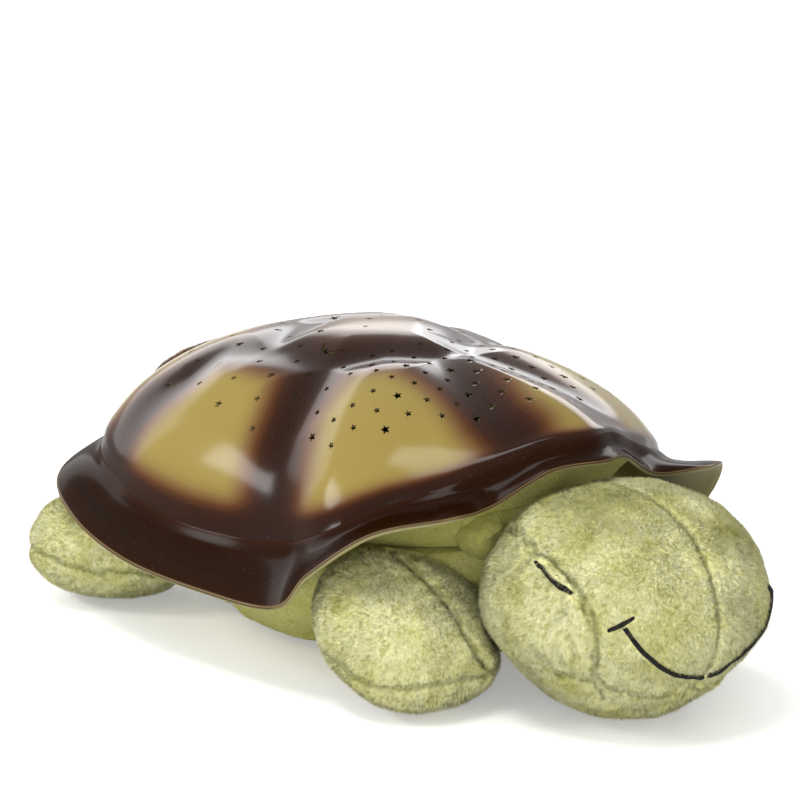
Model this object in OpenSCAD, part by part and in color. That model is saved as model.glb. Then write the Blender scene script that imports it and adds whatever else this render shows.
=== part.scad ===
// Star night light projector: a sleeping plush turtle under a hard shell pierced with stars.
// The head points to -Y, +Z is up and the belly lies on z = 0. All sizes are in millimetres.

/* [Shell] */
// Width of the shell across its widest point
shell_width = 276; // [262:1:290]
// Length of the shell from the front arch to the rear edge
shell_length = 316; // [304:1:330]
// Height of the dome over the ground
shell_height = 143; // [139:1:150]
// Thickness of the shell's wall
shell_wall = 2.2; // [1.6:0.1:2.8]
// How far the plates of the dome swell between their grooves
plate_swell = 4.4; // [2:0.1:5]
// Height of the bead round the foot of the dome
bead_height = 2; // [1:0.1:3]
// Number of star holes
star_count = 150; // [60:1:160]
// Size of a small star hole across its tips
star_size = 3.6; // [3:0.1:4.2]
// Radius of the posts that carry the shell
post_radius = 5; // [4:0.1:6]

/* [Body] */
// Reach of the head past the front of the shell
head_overhang = 79; // [76:1:84]
// Reach of the tail past the rear of the shell
tail_overhang = 11; // [8:1:14]
// Width of the head across the cheeks
head_width = 126; // [120:1:134]
// Length of the head from nose to neck
head_length = 126; // [120:1:130]
// Height of the head
head_height = 101; // [96:1:103]
// Width of the torso
torso_width = 186; // [178:1:194]
// Length of the torso
torso_length = 244; // [236:1:250]
// Length of a front flipper
flipper_length = 88; // [82:1:92]
// Width of a front flipper
flipper_width = 84; // [78:1:88]
// Thickness of a front flipper
flipper_height = 56; // [52:1:58]
// Length and width of a rear leg
leg_length = 86; // [80:1:90]
// Height of a rear leg
leg_height = 53; // [49:1:55]
// Length of the tail
tail_length = 48; // [46:1:54]
// Thickness of the plush fabric with its pile
plush = 2.4; // [1.8:0.1:3]
// Radius of the embroidery thread of the eyes and the mouth
thread_radius = 0.9; // [0.7:0.05:1.2]

/* [Light unit] */
// Height of the base plate's top over the ground
plate_top = 65; // [64:0.5:66]
// Thickness of the base plate
plate_thick = 3; // [2.8:0.1:3.4]
// Radius of the base plate's round ends
plate_radius = 74; // [70:1:76]
// Distance of those ends' centres from the middle
plate_spread = 32; // [28:1:34]
// Height of the lamp column over the base plate
column_height = 13; // [10:0.5:20]
// Outer radius of the lamp column
column_radius = 15; // [14:0.5:17]
// Radius of the lamp board
lamp_board_radius = 12; // [11:0.2:12.4]
// Diameter of a lamp
lamp_diameter = 5; // [4:0.1:6]
// Wall of the clear lamp cover
cover_wall = 1.4; // [1:0.1:1.6]

/* [Battery case] */
// Diameter of a battery
battery_diameter = 10.5; // [9.5:0.1:11]
// Length of a battery
battery_length = 44.5; // [42:0.1:46]
// Distance between two batteries
battery_pitch = 12.5; // [12:0.1:13.5]
// Length of a battery spring
spring_length = 6.2; // [5:0.1:7]
// Wall of the battery case
case_wall = 2; // [1.6:0.1:2.4]
// Height of the battery door over the ground
door_height = 9.5; // [9:0.1:10]
// Thickness of the battery door
door_thick = 2; // [1.6:0.1:2.4]
// Thickness of a circuit board
board_thick = 1.6; // [1:0.1:2]
// Radius of the screws' shafts
screw_radius = 1.4; // [1.2:0.05:1.5]

/* [Belly] */
// Thickness of the padded belly panel
belly_thick = 3.6; // [3.4:0.1:4]
// Thickness of the belly flap
flap_thick = 1.2; // [1:0.1:1.4]
// Thickness of a hook or loop strip
strip_thick = 0.5; // [0.4:0.05:0.6]
// Margin of the flap round the hatch
flap_margin = 10; // [9:0.5:12]

/* [Control pad] */
// Distance between two buttons
button_pitch = 18; // [17.5:0.5:20]
// Radius of a button
button_radius = 6.2; // [5:0.1:6.4]
// Travel of a button
button_travel = 1.5; // [1:0.1:1.8]
// Width of the control pad
pad_width = 92; // [88:1:100]
// Depth of the control pad
pad_depth = 46; // [42:1:50]
// Height of the control pad over the shell
pad_height = 12; // [11:0.5:14]
// Tilt of the control pad towards the tail
pad_tilt = 31; // [29:0.5:33]

/* [Fits] */
// Gap between soft pieces that lie against each other
soft_gap = 0.3; // [0.2:0.05:0.5]
// Gap round a piece that seats in another
seat_gap = 0.3; // [0.2:0.05:0.4]
// Gap round a button or a screw in its bore, on the radius
slide_gap = 0.2; // [0.1:0.05:0.3]

/* [Hidden] */
$fn = 48;

plush_green = "#b9be7c";
belly_green = "#a9b070";
shell_brown = "#6a4a20";
dark_plastic = "#26241f";
white_plastic = "#e8e6df";
clear_plastic = "#dfe8ec";
board_green = "#2f6b45";
steel = "#b8babd";
pad_brown = "#7a4a2a";
filling_white = "#f2f0ea";
thread_black = "#161518";

// A number larger than any cut needs
reach = 400;

// ---------- Places along the body ----------

toy_length = head_overhang + shell_length + tail_overhang;
nose_y = -toy_length / 2;
tail_y = toy_length / 2;
shell_front = nose_y + head_overhang;
shell_middle = shell_front + 0.512 * shell_length;
plate_bottom = plate_top - plate_thick;

// ---------- Shell surface ----------

// Each station is [share of half the width, share of the length, share of the height],
// from the middle of the front arch round to the middle of the rear. The other side mirrors it.
rim_stations = [
    [0, 0, 0.775], [0.16, 0.035, 0.75], [0.35, 0.065, 0.65], [0.54, 0.05, 0.65],
    [0.74, 0.115, 0.60], [0.86, 0.195, 0.45], [0.88, 0.265, 0.31], [0.94, 0.405, 0.295],
    [1, 0.58, 0.32], [0.97, 0.75, 0.38], [0.83, 0.885, 0.45], [0.45, 0.965, 0.51], [0, 1, 0.55]
];
bead_stations = [
    [0, 0.035, 0.82], [0.155, 0.065, 0.80], [0.31, 0.10, 0.73], [0.455, 0.135, 0.67],
    [0.60, 0.185, 0.61], [0.705, 0.25, 0.52], [0.73, 0.325, 0.455], [0.76, 0.42, 0.42],
    [0.82, 0.565, 0.42], [0.82, 0.71, 0.46], [0.715, 0.84, 0.54], [0.405, 0.915, 0.615],
    [0, 0.94, 0.645]
];
// Grooves between the plates on one side, as plan points in the stations' shares
grooves = [
    [[0, 0.354], [0.05, 0.354], [0.17, 0.415], [0.33, 0.475], [0.36, 0.608], [0, 0.705]],
    [[0.33, 0.475], [0.42, 0.45], [0.52, 0.424], [0.60, 0.405], [0.73, 0.35]],
    [[0.36, 0.608], [0.43, 0.68], [0.57, 0.69], [0.67, 0.722], [0.78, 0.745]],
    [[0.05, 0.354], [0.14, 0.206], [0.18, 0.136], [0.18, 0.085]]
];
groove_segments = [for (line = grooves) for (i = [0:len(line) - 2]) [line[i], line[i + 1]]];
half_turn = len(rim_stations) - 1;
full_turn = 2 * half_turn;
apex = [0, shell_front + 0.462 * shell_length, shell_height - plate_swell];
dome_fullness = [1.7, 2.3];
dome_edge = 0.62;
brim_sag = 3;
groove_reach = 14;
shell_columns = 60;
shell_levels = [0.12, 0.25, 0.38, 0.5, 0.6, 0.7, 0.8, 0.88, 0.95, 1, 1.12, 1.35, 1.65, 2];

function unit(p) = p / norm(p);
function plan(p) = [p.x, p.y];
function plan_place(share) = [share.x * shell_width / 2, shell_front + share.y * shell_length];
function wrap(k) = (k % full_turn + full_turn) % full_turn;
function station(list, k) =
    let (i = wrap(k), p = list[i <= half_turn ? i : full_turn - i], side = i <= half_turn ? 1 : -1)
    [side * p.x * shell_width / 2, shell_front + p.y * shell_length, p.z * shell_height];
function smooth_pass(a, b, c, d, f) =
    b + 0.5 * f * (c - a + f * (2 * a - 5 * b + 4 * c - d + f * (3 * (b - c) + d - a)));
function curve(list, u) =
    let (k = floor(u))
    smooth_pass(station(list, k - 1), station(list, k), station(list, k + 1), station(list, k + 2), u - k);
function segment_distance(p, a, b) =
    let (ab = b - a, f = max(0, min(1, (p - a) * ab / (ab * ab))))
    norm(p - a - f * ab);
function groove_distance(p) =
    let (q = [abs(p.x), p.y])
    min([for (s = groove_segments) segment_distance(q, plan_place(s[0]), plan_place(s[1]))]);
function swell(p, t) = plate_swell * (1 - exp(-pow(groove_distance(p) / groove_reach, 2))) * (1 - pow(t, 9));
function fullness(u) =
    let (rear = (1 - cos(360 * u / full_turn)) / 2)
    dome_fullness[0] + rear * (dome_fullness[1] - dome_fullness[0]);

// A point of the dome: u runs round the shell, t from the apex (0) to the bead (1)
function dome_point(u, t) =
    let (
        foot = curve(bead_stations, u),
        x = apex.x + t * (foot.x - apex.x),
        y = apex.y + t * (foot.y - apex.y),
        rise = t >= 1 ? 0 : pow(1 - pow(t, fullness(u)), dome_edge),
        bead = bead_height * exp(-pow((1 - t) / 0.03, 2))
    )
    [x, y, foot.z + (apex.z - foot.z) * rise + swell([x, y], t) + bead];

// A point of the brim: s runs from the bead (0) to the rim (1)
function brim_point(u, s) =
    let (
        a = curve(bead_stations, u),
        b = curve(rim_stations, u)
    )
    a + s * (b - a) + [0, 0, bead_height * exp(-pow(s / 0.12, 2)) - brim_sag * sin(180 * s) * (1 - s)];
function shell_point(u, v) = v <= 1 ? dome_point(u, v) : brim_point(u, v - 1);
function shell_normal(u, v) =
    let (
        along = shell_point(u + 0.05, v) - shell_point(u - 0.05, v),
        down = shell_point(u, min(2, v + 0.02)) - shell_point(u, v - 0.02)
    )
    unit(cross(down, along));

// The shell's net of points, moved out along the surface by lift
function shell_net(lift) = [
    for (v = shell_levels) for (i = [0:shell_columns - 1])
        let (u = full_turn * i / shell_columns)
        shell_point(u, v) + lift * shell_normal(u, v)
];
function net_faces(first, rows, out) = [
    for (j = [0:rows - 2]) for (i = [0:shell_columns - 1])
        let (
            a = first + j * shell_columns + i,
            b = first + j * shell_columns + (i + 1) % shell_columns,
            c = a + shell_columns,
            d = b + shell_columns
        )
        each out ? [[a, b, d], [a, d, c]] : [[a, d, b], [a, c, d]]
];
function fan(tip, first, out) = [
    for (i = [0:shell_columns - 1])
        let (a = first + i, b = first + (i + 1) % shell_columns)
        out ? [tip, b, a] : [tip, a, b]
];
shell_rows = len(shell_levels);
net_size = shell_rows * shell_columns;
last_row = net_size - shell_columns;

// The shell's skin, from the outer surface down to the one that lies below it by the wall
module shell_skin() {
    rim = [
        for (i = [0:shell_columns - 1])
            let (a = last_row + i, b = last_row + (i + 1) % shell_columns)
            each [[a, b, net_size + b], [a, net_size + b, net_size + a]]
    ];
    tops = [shell_point(0, 0), shell_point(0, 0) - [0, 0, shell_wall]];
    polyhedron(
        points = concat(shell_net(0), shell_net(-shell_wall), tops),
        faces = concat(
            net_faces(0, shell_rows, true), net_faces(net_size, shell_rows, false), rim,
            fan(2 * net_size, 0, true), fan(2 * net_size + 1, net_size, false)
        )
    );
}

// All that lies under the shell's outer surface, lifted by gap
module shell_block(gap) {
    low = [0, apex.y, 0.2 * shell_height];
    polyhedron(
        points = concat(shell_net(gap), [shell_point(0, 0) + [0, 0, gap], low]),
        faces = concat(
            net_faces(0, shell_rows, true), fan(net_size, 0, true), fan(net_size + 1, last_row, false)
        )
    );
}

// ---------- Posts, stars and moon ----------

middle = [0, shell_middle];
lamp_centre = [0, shell_middle, plate_top + column_height + 8];
post_spots = [for (side = [1, -1]) each [[5.9 * side, 0.58], [9.6 * side, 0.58]]];
post_foot = 2.2;
function post_place(s) = plan(dome_point(s[0], s[1]));
// Height of the shell's inner side over the outer edge of a post
function post_height(s) =
    let (
        arm = norm(plan(curve(bead_stations, s[0])) - plan(apex)),
        edge = s[1] + post_radius / arm,
        n = shell_normal(s[0], edge)
    )
    dome_point(s[0], edge).z - shell_wall / n.z - 2.5 * seat_gap;

function star_spot(i) = [
    full_turn * ((i * 0.618034 + 0.31) % 1),
    0.09 + 0.72 * pow((i + 0.5) / star_count, 0.58)
];
moon_spot = [15.66, 0.29];
moon_radius = 6.8;
function spot_plan(s) = plan(dome_point(s[0], s[1]));
moon_place = spot_plan(moon_spot);
star_places = [for (i = [0:star_count - 1]) spot_plan(star_spot(i))];
star_spots = [
    for (i = [0:star_count - 1])
        let (
            place = star_places[i],
            size = (i % 5 == 0 ? 1.3 : 1) * star_size,
            post_gap = min([for (p = post_spots) norm(post_place(p) - place)]),
            star_gap = min([2 * star_size, for (j = [0:1:i - 1]) norm(star_places[j] - place)])
        )
        if (post_gap > post_radius + size && star_gap > 1.6 * star_size && norm(moon_place - place) > moon_radius + star_size)
            [star_spot(i), size]
];

module star_outline(size) {
    polygon([for (k = [0:9]) (k % 2 == 0 ? 0.5 : 0.24) * size * [cos(36 * k), sin(36 * k)]]);
}
module moon_outline() {
    difference() {
        circle(moon_radius);
        translate([-0.46 * moon_radius, 0]) circle(1.1 * moon_radius);
    }
}
// Places children on the shell at a spot, with their z pointing away from the lamp
module on_ray(s) {
    p = dome_point(s[0], s[1]);
    d = p - lamp_centre;
    translate(p) rotate([0, acos(d.z / norm(d)), atan2(d.y, d.x)]) children();
}

// ---------- Soft forms ----------

function power_of(v, p) = sign(v) * pow(abs(v), 2 / p);
// One level of a soft form: half sizes, powers [plan, side], latitude, number of sides and start
function level_ring(half, power, latitude, sides, start) = [
    for (i = [0:sides - 1])
        let (
            a = 360 * (i + start) / sides,
            r = power_of(cos(latitude), power[1])
        )
        [
            half.x * r * power_of(cos(a), power[0]),
            half.y * r * power_of(sin(a), power[0]),
            half.z * power_of(sin(latitude), power[1])
        ]
];
module slab(lower, upper) {
    n = len(lower);
    hull() polyhedron(
        points = concat(lower, upper),
        faces = [[for (i = [0:n - 1]) i], [for (i = [0:n - 1]) n + i]]
    );
}
// A rounded cushion form, stacked from convex slabs; every second level is turned by half a side
module soft_form(half, power, sides = 24, levels = 10) {
    pole = 86;
    function latitude(k) = pole * (2 * k / levels - 1);
    function level(k) =
        level_ring(half, power, latitude(k), sides, ((k + levels / 2) % 2) / 2);
    for (k = [0:levels - 1]) slab(level(k), level(k + 1));
}
// Everything between two heights
module layer(low, high) {
    translate([-reach, -reach, low]) cube([2 * reach, 2 * reach, high - low]);
}

head_half = [head_width, head_length, head_height] / 2;
head_centre = [0, nose_y + head_half.y, head_half.z];
head_power = 2.15;
neck_radius = 30;
torso_top = plate_bottom - soft_gap;
torso_half = [torso_width / 2, torso_length / 2, 40];
torso_centre = [0, shell_middle + 0.2, 40];
torso_power = [2.4, 3];
flipper_half = [flipper_width, flipper_length, flipper_height] / 2;
flipper_centre = [71, shell_front + 52, 34.8];
flipper_pitch = 30;
leg_half = [leg_length / 2, leg_length / 2, leg_height / 2];
leg_centre = [90.3, shell_front + 266.6, leg_half.z + 0.4];
tail_half = [20, tail_length / 2, 15];
tail_centre = [0, tail_y - tail_half.y, 30];
leg_yaw = 53;
limb_power = [2.36, 2.36];

module head_form(grow = 0) {
    translate(head_centre)
        soft_form(head_half + grow * [1, 1, 1], [head_power, head_power], 28);
}
module torso_form(grow = 0) {
    translate(torso_centre) soft_form(torso_half + grow * [1, 1, 1], torso_power, 28);
}
module flipper_form(grow = 0) {
    translate(flipper_centre) rotate([flipper_pitch, 0, 0])
        soft_form(flipper_half + grow * [1, 1, 1], limb_power, 20, 8);
}
module leg_form(grow = 0) {
    translate(leg_centre) rotate(leg_yaw)
        soft_form(leg_half + grow * [1, 1, 1], limb_power, 20, 8);
}
module tail_form(grow = 0) {
    translate(tail_centre) soft_form(tail_half + grow * [1, 1, 1], [1.7, 2], 16, 8);
}

// ---------- Sizes of the light unit ----------

bay = [2 * battery_pitch + battery_diameter + 1, battery_length + spring_length + 1.6];
case_size = bay + 2 * case_wall * [1, 1];
door_top = door_height + door_thick;
case_bottom = door_top + 0.1;
rib_height = 1.2;
battery_z = door_top + rib_height + 0.2 + battery_diameter / 2;
divider_bottom = battery_z + battery_diameter / 2 + 0.4;
divider_top = divider_bottom + case_wall;
standoff_height = 5;
main_board_z = divider_top + standoff_height;
main_board_top = main_board_z + board_thick;
main_board_size = bay - [3, 3];
board_screw_radius = 1;
board_hole = main_board_size / 2 - [3.5, 3.5];
head_radius = 2 * screw_radius;
head_thick = 1.6;
lug_radius = screw_radius + 3;
lug_y = shell_middle - case_size.y / 2 - lug_radius + 1;
door_travel = 4.5;
flange_width = 9;
flange_thick = 3;
flange_hole = [case_size.x / 2 + 4.5, case_size.y / 2 - 8];
boss_height = 9;
hatch = [case_size.x + 4, case_size.y + 4 * lug_radius + 2];
cavity = [case_size.x + 2 * flange_width + 2, hatch.y];
flap_bay = hatch + 2 * flap_margin * [1, 1];
flap_size = flap_bay - [1.2, 1.2];
flap_bottom = 0.2;
flap_bay_height = flap_bottom + flap_thick + 2 * strip_thick + 0.1;
belly_size = flap_bay + [36, 40];
belly_corner = 30;
lead_radius = 0.9;
plate_hole = 5;
lead_hole_y = shell_middle + column_radius + 4;

// ---------- Sizes of the control pad ----------

pad_half = [pad_width / 2, pad_depth / 2, pad_height + 1];
pad_power = 2.8;
pad_centre = station(bead_stations, half_turn) + [0, -5, 4];
tray_radius = button_radius + 7.5;
tray_reach = 1.5 * button_pitch - 4;
tray_top = 8;
tray_bottom = -10;
tray_ceiling = tray_top - 3;
tray_board_top = tray_ceiling - 9.4;
tray_boss = [button_pitch, tray_radius - 5.2];
switch_height = 4.1;
button_top = pad_half.z + 1.5;
button_flange = 1;

module pad_frame() {
    translate(pad_centre) rotate([-pad_tilt, 0, 0]) children();
}
module stadium(radius, spread) {
    translate([0, spread]) circle(radius);
    translate([0, -spread]) circle(radius);
    square([2 * radius, 2 * spread], center = true);
}
module tray_outline(radius) {
    rotate(90) stadium(radius, tray_reach);
}
module rounded_outline(size, corner) {
    square([size.x - 2 * corner, size.y], center = true);
    square([size.x, size.y - 2 * corner], center = true);
    for (sx = [-1, 1]) for (sy = [-1, 1])
        translate([sx * (size.x / 2 - corner), sy * (size.y / 2 - corner)]) circle(corner);
}
module raised(z, height) {
    translate([0, shell_middle, z]) linear_extrude(height) children();
}
module box_at(size, place) {
    translate(place - [size.x / 2, size.y / 2, 0]) cube(size);
}
module at_corners(spot) {
    for (sx = [-1, 1]) for (sy = [-1, 1]) translate([sx * spot.x, sy * spot.y, 0]) children();
}
// A pan-head screw that points up, with the underside of its head at z = 0
module screw(shaft, length, head, thick) {
    translate([0, 0, -thick]) cylinder(r = head, h = thick);
    translate([0, 0, -0.01]) cylinder(r = shaft, h = length + 0.01);
}

// ---------- Tubes along a path ----------

function smooth_path(points, steps) = [
    for (i = [0:len(points) - 2]) for (k = [0:steps - 1])
        let (
            a = points[max(0, i - 1)],
            d = points[min(len(points) - 1, i + 2)]
        )
        smooth_pass(a, points[i], points[i + 1], d, k / steps),
    points[len(points) - 1]
];
// One closed tube through the path's points. Its rings are turned from the side direction.
module tube(path, radius, side, sides = 8) {
    last = len(path) - 1;
    rings = [
        for (i = [0:last])
            let (
                d = unit(path[min(last, i + 1)] - path[max(0, i - 1)]),
                a = unit(cross(d, side)),
                b = cross(d, a)
            )
            for (k = [0:sides - 1])
                path[i] + radius * (cos(360 * k / sides) * a + sin(360 * k / sides) * b)
    ];
    walls = [
        for (i = [0:last - 1]) for (k = [0:sides - 1])
            let (
                p = i * sides + k,
                q = i * sides + (k + 1) % sides
            )
            each [[p, p + sides, q + sides], [p, q + sides, q]]
    ];
    ends = [[for (k = [0:sides - 1]) k], [for (k = [sides - 1:-1:0]) last * sides + k]];
    polyhedron(points = rings, faces = concat(walls, ends));
}

// ---------- Shell ----------

module shell() {
    color(shell_brown) difference() {
        shell_skin();
        for (s = star_spots) on_ray(s[0]) translate([0, 0, -5]) linear_extrude(10) star_outline(s[1]);
        on_ray(moon_spot) translate([0, 0, -5]) linear_extrude(10) moon_outline();
        pad_frame() translate([0, 0, -16]) linear_extrude(40) tray_outline(tray_radius + seat_gap);
    }
}
module shell_posts() {
    color(shell_brown) for (s = post_spots) {
        p = post_place(s);
        translate([p.x, p.y, plate_top]) difference() {
            union() {
                cylinder(r = post_radius, h = post_height(s) - plate_top);
                cylinder(r = post_radius + post_foot, h = post_foot);
            }
            translate([0, 0, -1]) cylinder(r = screw_radius + slide_gap, h = 14);
        }
    }
}
module shell_screws() {
    color(steel) for (s = post_spots) {
        p = post_place(s);
        translate([p.x, p.y, plate_bottom + head_thick + 0.2])
            screw(screw_radius, 12, head_radius, head_thick);
    }
}

// ---------- Control pad and buttons ----------

module control_tray() {
    color(dark_plastic) pad_frame() difference() {
        union() {
            difference() {
                translate([0, 0, tray_bottom])
                    linear_extrude(tray_top - tray_bottom) tray_outline(tray_radius);
                translate([0, 0, tray_bottom - 1])
                    linear_extrude(tray_ceiling - tray_bottom + 1) tray_outline(tray_radius - 2);
            }
            for (sx = [-1, 1]) for (sy = [-1, 1])
                translate([sx * tray_boss.x, sy * tray_boss.y, tray_board_top])
                    cylinder(r = 2.4, h = tray_ceiling - tray_board_top + 0.5);
        }
        for (i = [0:3])
            translate([(i - 1.5) * button_pitch, 0, tray_ceiling - 1])
                cylinder(r = button_radius + slide_gap, h = 6);
        for (sx = [-1, 1]) for (sy = [-1, 1])
            translate([sx * tray_boss.x, sy * tray_boss.y, tray_board_top - 1])
                cylinder(r = board_screw_radius + slide_gap, h = 7);
    }
}
module control_pad() {
    color(pad_brown) difference() {
        pad_frame() soft_form(pad_half, [pad_power, pad_power], 32, 10);
        shell_block(soft_gap);
        pad_frame() {
            translate([0, 0, -reach + tray_top + seat_gap])
                linear_extrude(reach) tray_outline(tray_radius + seat_gap);
            for (i = [0:3])
                translate([(i - 1.5) * button_pitch, 0, 0]) cylinder(r = button_radius + 0.8, h = 30);
        }
    }
}
module button_board() {
    color(board_green) pad_frame() difference() {
        translate([0, 0, tray_board_top - board_thick])
            linear_extrude(board_thick) tray_outline(tray_radius - 2.5);
        for (sx = [-1, 1]) for (sy = [-1, 1])
            translate([sx * tray_boss.x, sy * tray_boss.y, tray_board_top - board_thick - 1])
                cylinder(r = board_screw_radius + slide_gap, h = board_thick + 2);
    }
}
module button_switches() {
    color(dark_plastic) pad_frame() for (i = [0:3])
        translate([(i - 1.5) * button_pitch, 0, tray_board_top]) {
            box_at([6, 6, switch_height - 0.6], [0, 0, 0]);
            cylinder(r = 1.7, h = switch_height);
        }
}
module tray_screws() {
    color(steel) pad_frame() for (sx = [-1, 1]) for (sy = [-1, 1])
        translate([sx * tray_boss.x, sy * tray_boss.y, tray_board_top - board_thick])
            screw(board_screw_radius, board_thick + 5, 2, 1.2);
}
module push_button(index, colour) {
    flange_top = tray_ceiling - 0.3;
    flange_bottom = flange_top - 1.2;
    stem_bottom = tray_board_top + switch_height + button_travel + 0.2;
    color(colour) pad_frame() translate([(index - 1.5) * button_pitch, 0, 0]) {
        translate([0, 0, stem_bottom]) cylinder(r = 2, h = flange_bottom - stem_bottom);
        translate([0, 0, flange_bottom]) cylinder(r = button_radius + button_flange, h = 1.2);
        translate([0, 0, flange_top]) cylinder(r = button_radius, h = button_top - flange_top - 1);
        translate([0, 0, button_top - 1])
            cylinder(r1 = button_radius, r2 = button_radius - 1, h = 1);
    }
}
module power_button() {
    push_button(0, "#e9e4d6");
}
module amber_button() {
    push_button(1, "#e8a33a");
}
module green_button() {
    push_button(2, "#4fae5a");
}
module blue_button() {
    push_button(3, "#3f78c8");
}

// ---------- Light unit ----------

module base_plate() {
    color(dark_plastic) difference() {
        raised(plate_bottom, plate_thick) stadium(plate_radius, plate_spread);
        raised(plate_bottom - 1, plate_thick + 2) circle(plate_hole);
        translate([0, lead_hole_y, plate_bottom - 1]) cylinder(r = 3 * lead_radius, h = plate_thick + 2);
        translate([0, shell_middle, plate_bottom - 1]) at_corners(flange_hole)
            cylinder(r = screw_radius + slide_gap, h = plate_thick + 2);
        for (s = post_spots) {
            p = post_place(s);
            translate([p.x, p.y, plate_bottom - 1]) {
                cylinder(r = screw_radius + slide_gap, h = plate_thick + 2);
                cylinder(r = head_radius + slide_gap, h = head_thick + 1.2);
            }
        }
    }
}
module lamp_column() {
    color(white_plastic) translate([0, shell_middle, plate_top]) difference() {
        union() {
            cylinder(r = column_radius, h = column_height);
            cylinder(r = column_radius + 2, h = 2);
        }
        translate([0, 0, -1]) cylinder(r = lamp_board_radius - 2, h = column_height + 2);
        translate([0, 0, column_height - board_thick - 0.2])
            cylinder(r = lamp_board_radius + slide_gap, h = board_thick + 1);
    }
}
lamp_board_z = plate_top + column_height - board_thick - 0.2;
lamp_base_z = lamp_board_z + board_thick;
lamp_ring = 5.4;
module lamp_board() {
    color(board_green) translate([0, shell_middle, lamp_board_z])
        cylinder(r = lamp_board_radius, h = board_thick);
}
module lamp(index, colour) {
    a = 120 * index + 90;
    color(colour) translate([lamp_ring * cos(a), shell_middle + lamp_ring * sin(a), lamp_base_z]) {
        cylinder(d = lamp_diameter, h = 6);
        translate([0, 0, 6]) difference() {
            sphere(d = lamp_diameter);
            translate([-5, -5, -10]) cube(10);
        }
    }
}
module amber_lamp() {
    lamp(0, "#e8a33a");
}
module green_lamp() {
    lamp(1, "#4fae5a");
}
module blue_lamp() {
    lamp(2, "#3f78c8");
}
module lamp_cover() {
    collar = 6;
    inner = column_radius - cover_wall;
    color(clear_plastic) translate([0, shell_middle, plate_top + column_height])
        rotate_extrude() difference() {
            union() {
                square([column_radius, collar]);
                translate([0, collar]) intersection() {
                    circle(column_radius);
                    square(2 * column_radius);
                }
            }
            translate([0, -1]) square([inner, collar + 1]);
            translate([0, collar]) intersection() {
                circle(inner);
                square(2 * inner);
            }
        }
}

// ---------- Battery case and boards ----------

module battery_case() {
    bay_height = divider_bottom - case_bottom;
    room_height = plate_bottom - divider_top;
    color(dark_plastic) difference() {
        union() {
            box_at([case_size.x, case_size.y, plate_bottom - case_bottom], [0, shell_middle, case_bottom]);
            box_at(
                [case_size.x + 2 * flange_width, case_size.y, flange_thick],
                [0, shell_middle, plate_bottom - flange_thick]
            );
            translate([0, shell_middle, plate_bottom - flange_thick - boss_height])
                at_corners(flange_hole) cylinder(r = 4, h = boss_height + 1);
            translate([0, lug_y, case_bottom]) cylinder(r = lug_radius, h = 18);
            box_at([4, 2 * lug_radius, 18], [0, lug_y + lug_radius, case_bottom]);
        }
        box_at([bay.x, bay.y, bay_height + 1], [0, shell_middle, case_bottom - 1]);
        box_at([bay.x, bay.y, room_height + 1], [0, shell_middle, divider_top]);
        translate([0, shell_middle, plate_bottom - 10]) at_corners(flange_hole)
            cylinder(r = screw_radius + slide_gap, h = 11);
        translate([0, lug_y, case_bottom - 1]) cylinder(r = screw_radius + slide_gap, h = 11);
        for (sx = [-1, 1]) box_at(
            [4, 4, case_wall + 2],
            [sx * battery_pitch / 2, shell_middle + bay.y / 2 - 5, divider_bottom - 1]
        );
    }
    color(dark_plastic) translate([0, shell_middle, divider_top]) at_corners(board_hole) difference() {
        cylinder(r = 2.6, h = standoff_height);
        translate([0, 0, 0.6]) cylinder(r = board_screw_radius + slide_gap, h = standoff_height);
    }
}
module case_screws() {
    color(steel) translate([0, shell_middle, plate_top]) at_corners(flange_hole)
        mirror([0, 0, 1]) screw(screw_radius, plate_thick + 8, head_radius, head_thick);
}
module main_board() {
    color(board_green) difference() {
        box_at([main_board_size.x, main_board_size.y, board_thick], [0, shell_middle, main_board_z]);
        translate([0, shell_middle, main_board_z - 1]) at_corners(board_hole)
            cylinder(r = board_screw_radius + slide_gap, h = board_thick + 2);
    }
}
module board_screws() {
    color(steel) translate([0, shell_middle, main_board_top]) at_corners(board_hole)
        mirror([0, 0, 1]) screw(board_screw_radius, board_thick + 3.5, 2, 1.2);
}
module timer_chip() {
    color(dark_plastic) {
        box_at([7, 10, 1.4], [-4, shell_middle - 6, main_board_top + 0.3]);
        for (side = [-1, 1]) for (k = [0:4])
            box_at([1.2, 0.5, 0.6], [-4 + side * 4, shell_middle - 10 + 2 * k, main_board_top]);
    }
}
module board_parts() {
    color(steel) {
        translate([8, shell_middle + 10, main_board_top]) cylinder(r = 3, h = 8);
        translate([8, shell_middle - 12, main_board_top]) cylinder(r = 2.2, h = 6);
        box_at([8, 5, 6], [-7, shell_middle + 17, main_board_top]);
        box_at([8, 5, 6], [6, shell_middle + 17, main_board_top]);
        for (k = [0:3]) box_at([1.6, 3, 1], [2 + 2.6 * k, shell_middle - 3, main_board_top]);
    }
}

// ---------- Batteries and contacts ----------

contact_thick = 0.4;
battery_flip = [1, -1, 1];
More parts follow.
